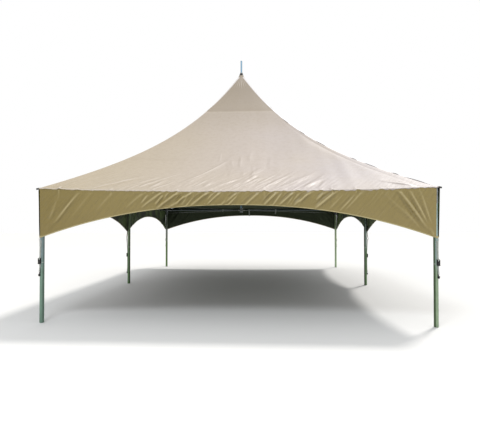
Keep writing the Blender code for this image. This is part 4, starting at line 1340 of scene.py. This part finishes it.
for rail, ties in TIES.items():
    node = rail.removeprefix("tube_")
    low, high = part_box(node)
    centre = (low + high) / 2
    along_x = node in ("rail_front", "rail_back")
    turn = math.atan2(-centre.y, 0) if along_x else math.atan2(0, -centre.x)
    for number, (offset, tail) in enumerate(ties, 1):
        path = tie_path(tail, TIE_SLANT * (-1) ** number)
        place = (centre.x + offset, centre.y, centre.z) if along_x else (centre.x, centre.y + offset, centre.z)
        shape = strap(path, TIE_WIDTH, TIE_THICKNESS)
        tie = piece(f"tie_{node}_{number}", [shape], [webbing_cloth], (), place, turn)

# Hold-downs
# Below each low point of the skirt a welded steel ring hangs from a sewn tab. Webbing runs from it down the leg to a
# black ratchet, and a short strap below that ends in a flat steel hook on the leg's staple. The ones at the corners
# face out through the slit between two skirts.

HOLD_DOWN_HEIGHTS = {"corner": (1.317, 1.006, 0.813), "middle": (1.182, 0.782, 0.351)}  # ring, spool and hook bar
RING_RADIUS = 0.025
RING_WIRE = 0.003
RING_PLACES = {"corner": (0.0405, math.radians(6)), "middle": (0.0580, math.radians(35))}  # from the leg, and its turn
# The corner ones have been pulled round the leg towards the end of the tent: the ratchet a little, the ring further.
RATCHET_SWING = math.radians(16)
RING_SWING = math.radians(32)
WEBBING_WIDTH = 0.038
WEBBING_THICKNESS = 0.0022
TAB_WIDTH = 0.036
TAB_THICKNESS = 0.0016
TAB_TOPS = (1.354, 1.374)  # of the corner ones, where they are sewn
TAB_PLIES = (0.0366, 0.0382)  # x of their two plies there
PLY_GAP = 0.0002
LEG_FACE = LEG_RADIUS + CLEARANCE
SPOOL_X = 0.0490
SPOOL_RISE = 0.080  # above the foot of the ratchet
TEETH = 12
TOOTH_RADII = (0.0120, 0.0095)
TOOTH_LEAN = 0.12
CHEEK = (0.0118, 0.0024, 0.0235)  # its radius round the spool, thickness and distance from the middle
WHEEL_Y = 0.0205
ARM = (0.0105, 0.0020, 0.0262)
GRIP_X = 0.0560
GRIP_Y = 0.0268
GRIP_OVAL = (0.0100, 0.0050)
BOLT = (0.0425, 0.0165)  # x, and above the foot
HOOK_WIDTH = 0.034
HOOK_PLATE = 0.0034
HOOK_FACES = (0.0395, 0.0535)  # behind the staple and before it
HOOK_ENDS = (0.020, 0.018)  # how far it goes down and up past the staple
HOOK_BEND = 0.0065
HOOK_SHOULDER = 0.018  # below the bar
HOOK_EARS = (0.0378, 0.0428, 0.005)  # from, to and thick
HOOK_BAR = 0.0030
HOOK_BAR_X = 0.0405
SPOOL_WRAP = (0.0060, 0.0092)  # the radius of the webbing's first and last turn round the spool
BOLT_WRAP = 0.0052
BAR_WRAP = 0.0043
LOWER_STRAP_X = 0.0374
SLOPE_START = 0.040  # below the ring's foot, where the webbing leaves for the leg

# Zinc-plated steel wire gone dull outdoors: darker than the fittings, with a green-grey bloom.
ring_steel, _, _, tone = clouded("dull_zinc_plated_steel_wire", 60.0, 5.0, "#474C40", "#6C7263")
give_skin(ring_steel, {"Base Color": tone, "Roughness": 0.55, "Metallic": 0.4})


def steel_plate(outline, thickness, y=0.0):
    return moved(plate(outline, thickness), Matrix.Translation((0, y, 0)))


def rectangle(x0, x1, z0, z1):
    return [(x0, z0), (x1, z0), (x1, z1), (x0, z1)]


def ratchet_shapes(spool_z):
    """Frame, toothed wheels, spool, pawl and folded handle, in order from the leg outwards."""
    spool = (SPOOL_X, spool_z)
    foot = spool_z - SPOOL_RISE
    shapes = [steel_plate(rectangle(LEG_FACE, LEG_FACE + 0.0026, foot, spool_z - 0.016), 0.046)]
    radius, cheek_plate, cheek_y = CHEEK
    cheek = [(LEG_FACE, foot + 0.010), (0.0470, foot + 0.012), (0.0520, foot + 0.024), (0.0550, spool_z - 0.014)]
    cheek += [*arc_points(spool, radius, -30, 110), (LEG_FACE, spool_z + 0.019)]
    wheel = []
    for base in 2 * np.pi * np.arange(TEETH) / TEETH:
        for radius, angle in zip(TOOTH_RADII, (base, base + TOOTH_LEAN)):
            wheel.append((spool[0] + radius * math.cos(angle), spool[1] + radius * math.sin(angle)))
    radius, arm_plate, arm_y = ARM
    arm = [(GRIP_X + 0.002, foot + 0.006), *arc_points(spool, radius, -20, 200), (GRIP_X - 0.008, foot + 0.012)]
    for sign in (-1, 1):
        shapes.append(steel_plate(cheek, cheek_plate, sign * cheek_y))
        shapes.append(steel_plate(wheel, cheek_plate, sign * WHEEL_Y))
        shapes.append(steel_plate(arm, arm_plate, sign * arm_y))
    grip = [(GRIP_X, -GRIP_Y, foot + 0.006), (GRIP_X, 0, foot + 0.0045), (GRIP_X, GRIP_Y, foot + 0.006)]
    shapes.append(swept(rounded(grip, 0.012), (1, 0, 0), round_bar(1, 16) * GRIP_OVAL))
    shapes.append(steel_plate(rectangle(GRIP_X - 0.004, GRIP_X - 0.001, foot + 0.014, foot + 0.056), 0.048))
    shapes.append(steel_plate(rectangle(0.0480, 0.0545, foot + 0.040, foot + 0.0430), 0.043))
    axle = pin([(0.0285, 0.0052), (0.0290, 0.0034)], 24)
    shapes.append(moved(axle, Matrix.Translation((spool[0], 0, spool[1])) @ ALONG_Y))
    bolt = pin([(0.0255, 0.0040), (0.0262, 0.0030)], 20)
    shapes.append(moved(bolt, Matrix.Translation((BOLT[0], 0, foot + BOLT[1])) @ ALONG_Y))
    return shapes


def swung(shape, heights, turns):
    """Turns each point about the leg, by the turn that is given for its height."""
    x, y, z = np.array(shape[0], float).T
    turn = np.interp(z, heights, turns)
    points = np.stack([x * np.cos(turn) - y * np.sin(turn), x * np.sin(turn) + y * np.cos(turn), z], axis=-1)
    return (points, *shape[1:])


def flat_hook(staple_height, top):
    """A steel plate that goes down behind the staple and turns up before it, below a bar that takes the strap."""
    shoulder, low, high = top - HOOK_SHOULDER, staple_height - HOOK_ENDS[0], staple_height + HOOK_ENDS[1]
    behind, before = HOOK_FACES
    path = rounded([(behind, 0, shoulder), (behind, 0, low), (before, 0, low), (before, 0, high)], HOOK_BEND)
    shapes = [strap(path, HOOK_WIDTH, HOOK_PLATE)]
    start, end, thickness = HOOK_EARS
    for y in (-(HOOK_WIDTH + thickness) / 2, (HOOK_WIDTH + thickness) / 2):
        shapes.append(steel_plate(rectangle(start, end, shoulder - 0.004, top + 0.004), thickness, y))
    bar = pin([(HOOK_WIDTH / 2 + 0.004, HOOK_BAR)], 16)
    return [*shapes, moved(bar, Matrix.Translation((HOOK_BAR_X, 0, top)) @ ALONG_Y)]


ring_circle = np.insert(round_bar(RING_RADIUS, 48), 0, 0.0, axis=1)
for name, (side_x, side_y) in LEG_PLACES.items():
    place = (side_x * HALF_WIDTH, side_y * HALF_LENGTH, 0)
    turn = math.atan2(side_y, side_x)
    side = "right" if side_x > 0 else "left"
    kind = "corner" if side_y else "middle"
    ring_x, ring_turn = RING_PLACES[kind]
    ring_height, spool_z, hook_top = HOLD_DOWN_HEIGHTS[kind]
    spool = (SPOOL_X, spool_z)
    foot = spool_z - SPOOL_RISE
    swing_heights = (hook_top + 0.020, foot - 0.005, foot + 0.110, ring_height - 0.040)
    swings = side_x * side_y * np.array([0, RATCHET_SWING, RATCHET_SWING, RING_SWING])
    ring = swept(ring_circle, (1, 0, 0), round_bar(RING_WIRE), closed=True)
    ring = moved(ring, Matrix.Translation((ring_x, 0, ring_height)) @ Matrix.Rotation(ring_turn, 4, "Z"))
    ring = swung(ring, swing_heights, swings)
    piece("ring_" + name, [ring], [ring_steel], ["strap_" + name], place, turn)
    body = [swung(shape, swing_heights, swings) for shape in ratchet_shapes(spool_z)]
    piece("ratchet_body_" + name, body, [black_steel], ["ratchet_" + name], place, turn, sharp=30)
    hook = flat_hook(STAPLE_HEIGHTS[kind], hook_top)
    piece("flat_hook_" + name, hook, [black_steel], ["ratchet_" + name], place, turn)

    ring_foot, ring_head = (ring_x, ring_height - RING_RADIUS), (ring_x, ring_height + RING_RADIUS)
    wrap = RING_WIRE + WEBBING_THICKNESS / 2 + PLY_GAP
    face_x = LEG_FACE + WEBBING_THICKNESS / 2 + 0.0004
    webbing = arc_points(spool, SPOOL_WRAP, 850, 178, 70)
    low_x, high_x = face_x, max(face_x, ring_x - 0.006)
    slope_z = ring_foot[1] - SLOPE_START
    webbing += [(low_x, spool_z + 0.045), (high_x, slope_z)]
    webbing += arc_points(ring_foot, wrap, 180, -20, 16)
    tail = [(high_x, slope_z), (0.7 * high_x + 0.3 * low_x, ring_foot[1] - 0.09)]
    webbing += [(x + WEBBING_THICKNESS + 0.0009, z) for x, z in tail]

    over_ring = arc_points(ring_head, RING_WIRE + 0.0010, 160, 380, 16)
    if side_y:
        # Both plies go up inside the slit, where they are sewn to the two skirts.
        low_z, high_z = TAB_TOPS
        inner, outer = TAB_PLIES
        tab = [(inner, high_z), (inner, low_z), *over_ring, (outer, low_z), (outer, high_z)]
        skirts_held = ["skirt_" + side, "skirt_front" if side_y < 0 else "skirt_back"]
    else:
        # One ply lies on each face of the hem.
        grid = skirt_grids[side]
        column = int(np.abs(grid[0, :, 1] - place[1]).argmin())
        low_x, high_x = (abs(grid[row, column, 0]) - HALF_WIDTH - COVER_THICKNESS / 2 for row in (0, 2))
        low_z, high_z = grid[0, column, 2] + 0.002, grid[2, column, 2]
        apart = HEM_THICKNESS / 2 + TAB_THICKNESS / 2 + PLY_GAP
        tab = [(high_x - apart, high_z), (low_x - apart, low_z), *over_ring]
        tab += [(low_x + apart, low_z), (high_x + apart, high_z)]
        skirts_held = ["skirt_" + side]

    lower = arc_points((BOLT[0], foot + BOLT[1]), BOLT_WRAP, 60, -100, 14)
    lower += [(0.0398, foot + 0.003), (0.0380, foot - 0.014)]
    lower += [(LOWER_STRAP_X, hook_top + 0.040), (LOWER_STRAP_X, hook_top + 0.006)]
    lower += arc_points((HOOK_BAR_X, hook_top), BAR_WRAP, 170, 380, 14)
    lower += [(HOOK_BAR_X, hook_top + 0.020), (0.0399, hook_top + 0.050)]

    sewn = (WEBBING_WIDTH, WEBBING_THICKNESS)
    ring_name, body_name, hook_name = "ring_" + name, "ratchet_body_" + name, "flat_hook_" + name
    for part, path, size, cloth, nodes, holders in (
        ("webbing_", webbing, sewn, webbing_cloth, ["strap_" + name], [ring_name, body_name]),
        ("ring_tab_", tab, (TAB_WIDTH, TAB_THICKNESS), hem_tape, (), [ring_name, *skirts_held]),
        ("lower_strap_", lower, sewn, webbing_cloth, ["ratchet_" + name], [body_name, hook_name]),
    ):
        path = np.insert(path, 1, 0.0, axis=1)
        shape = swung(strap(path, *size), swing_heights, swings)
        made = piece(part + name, [shape], [cloth], nodes, place, turn)
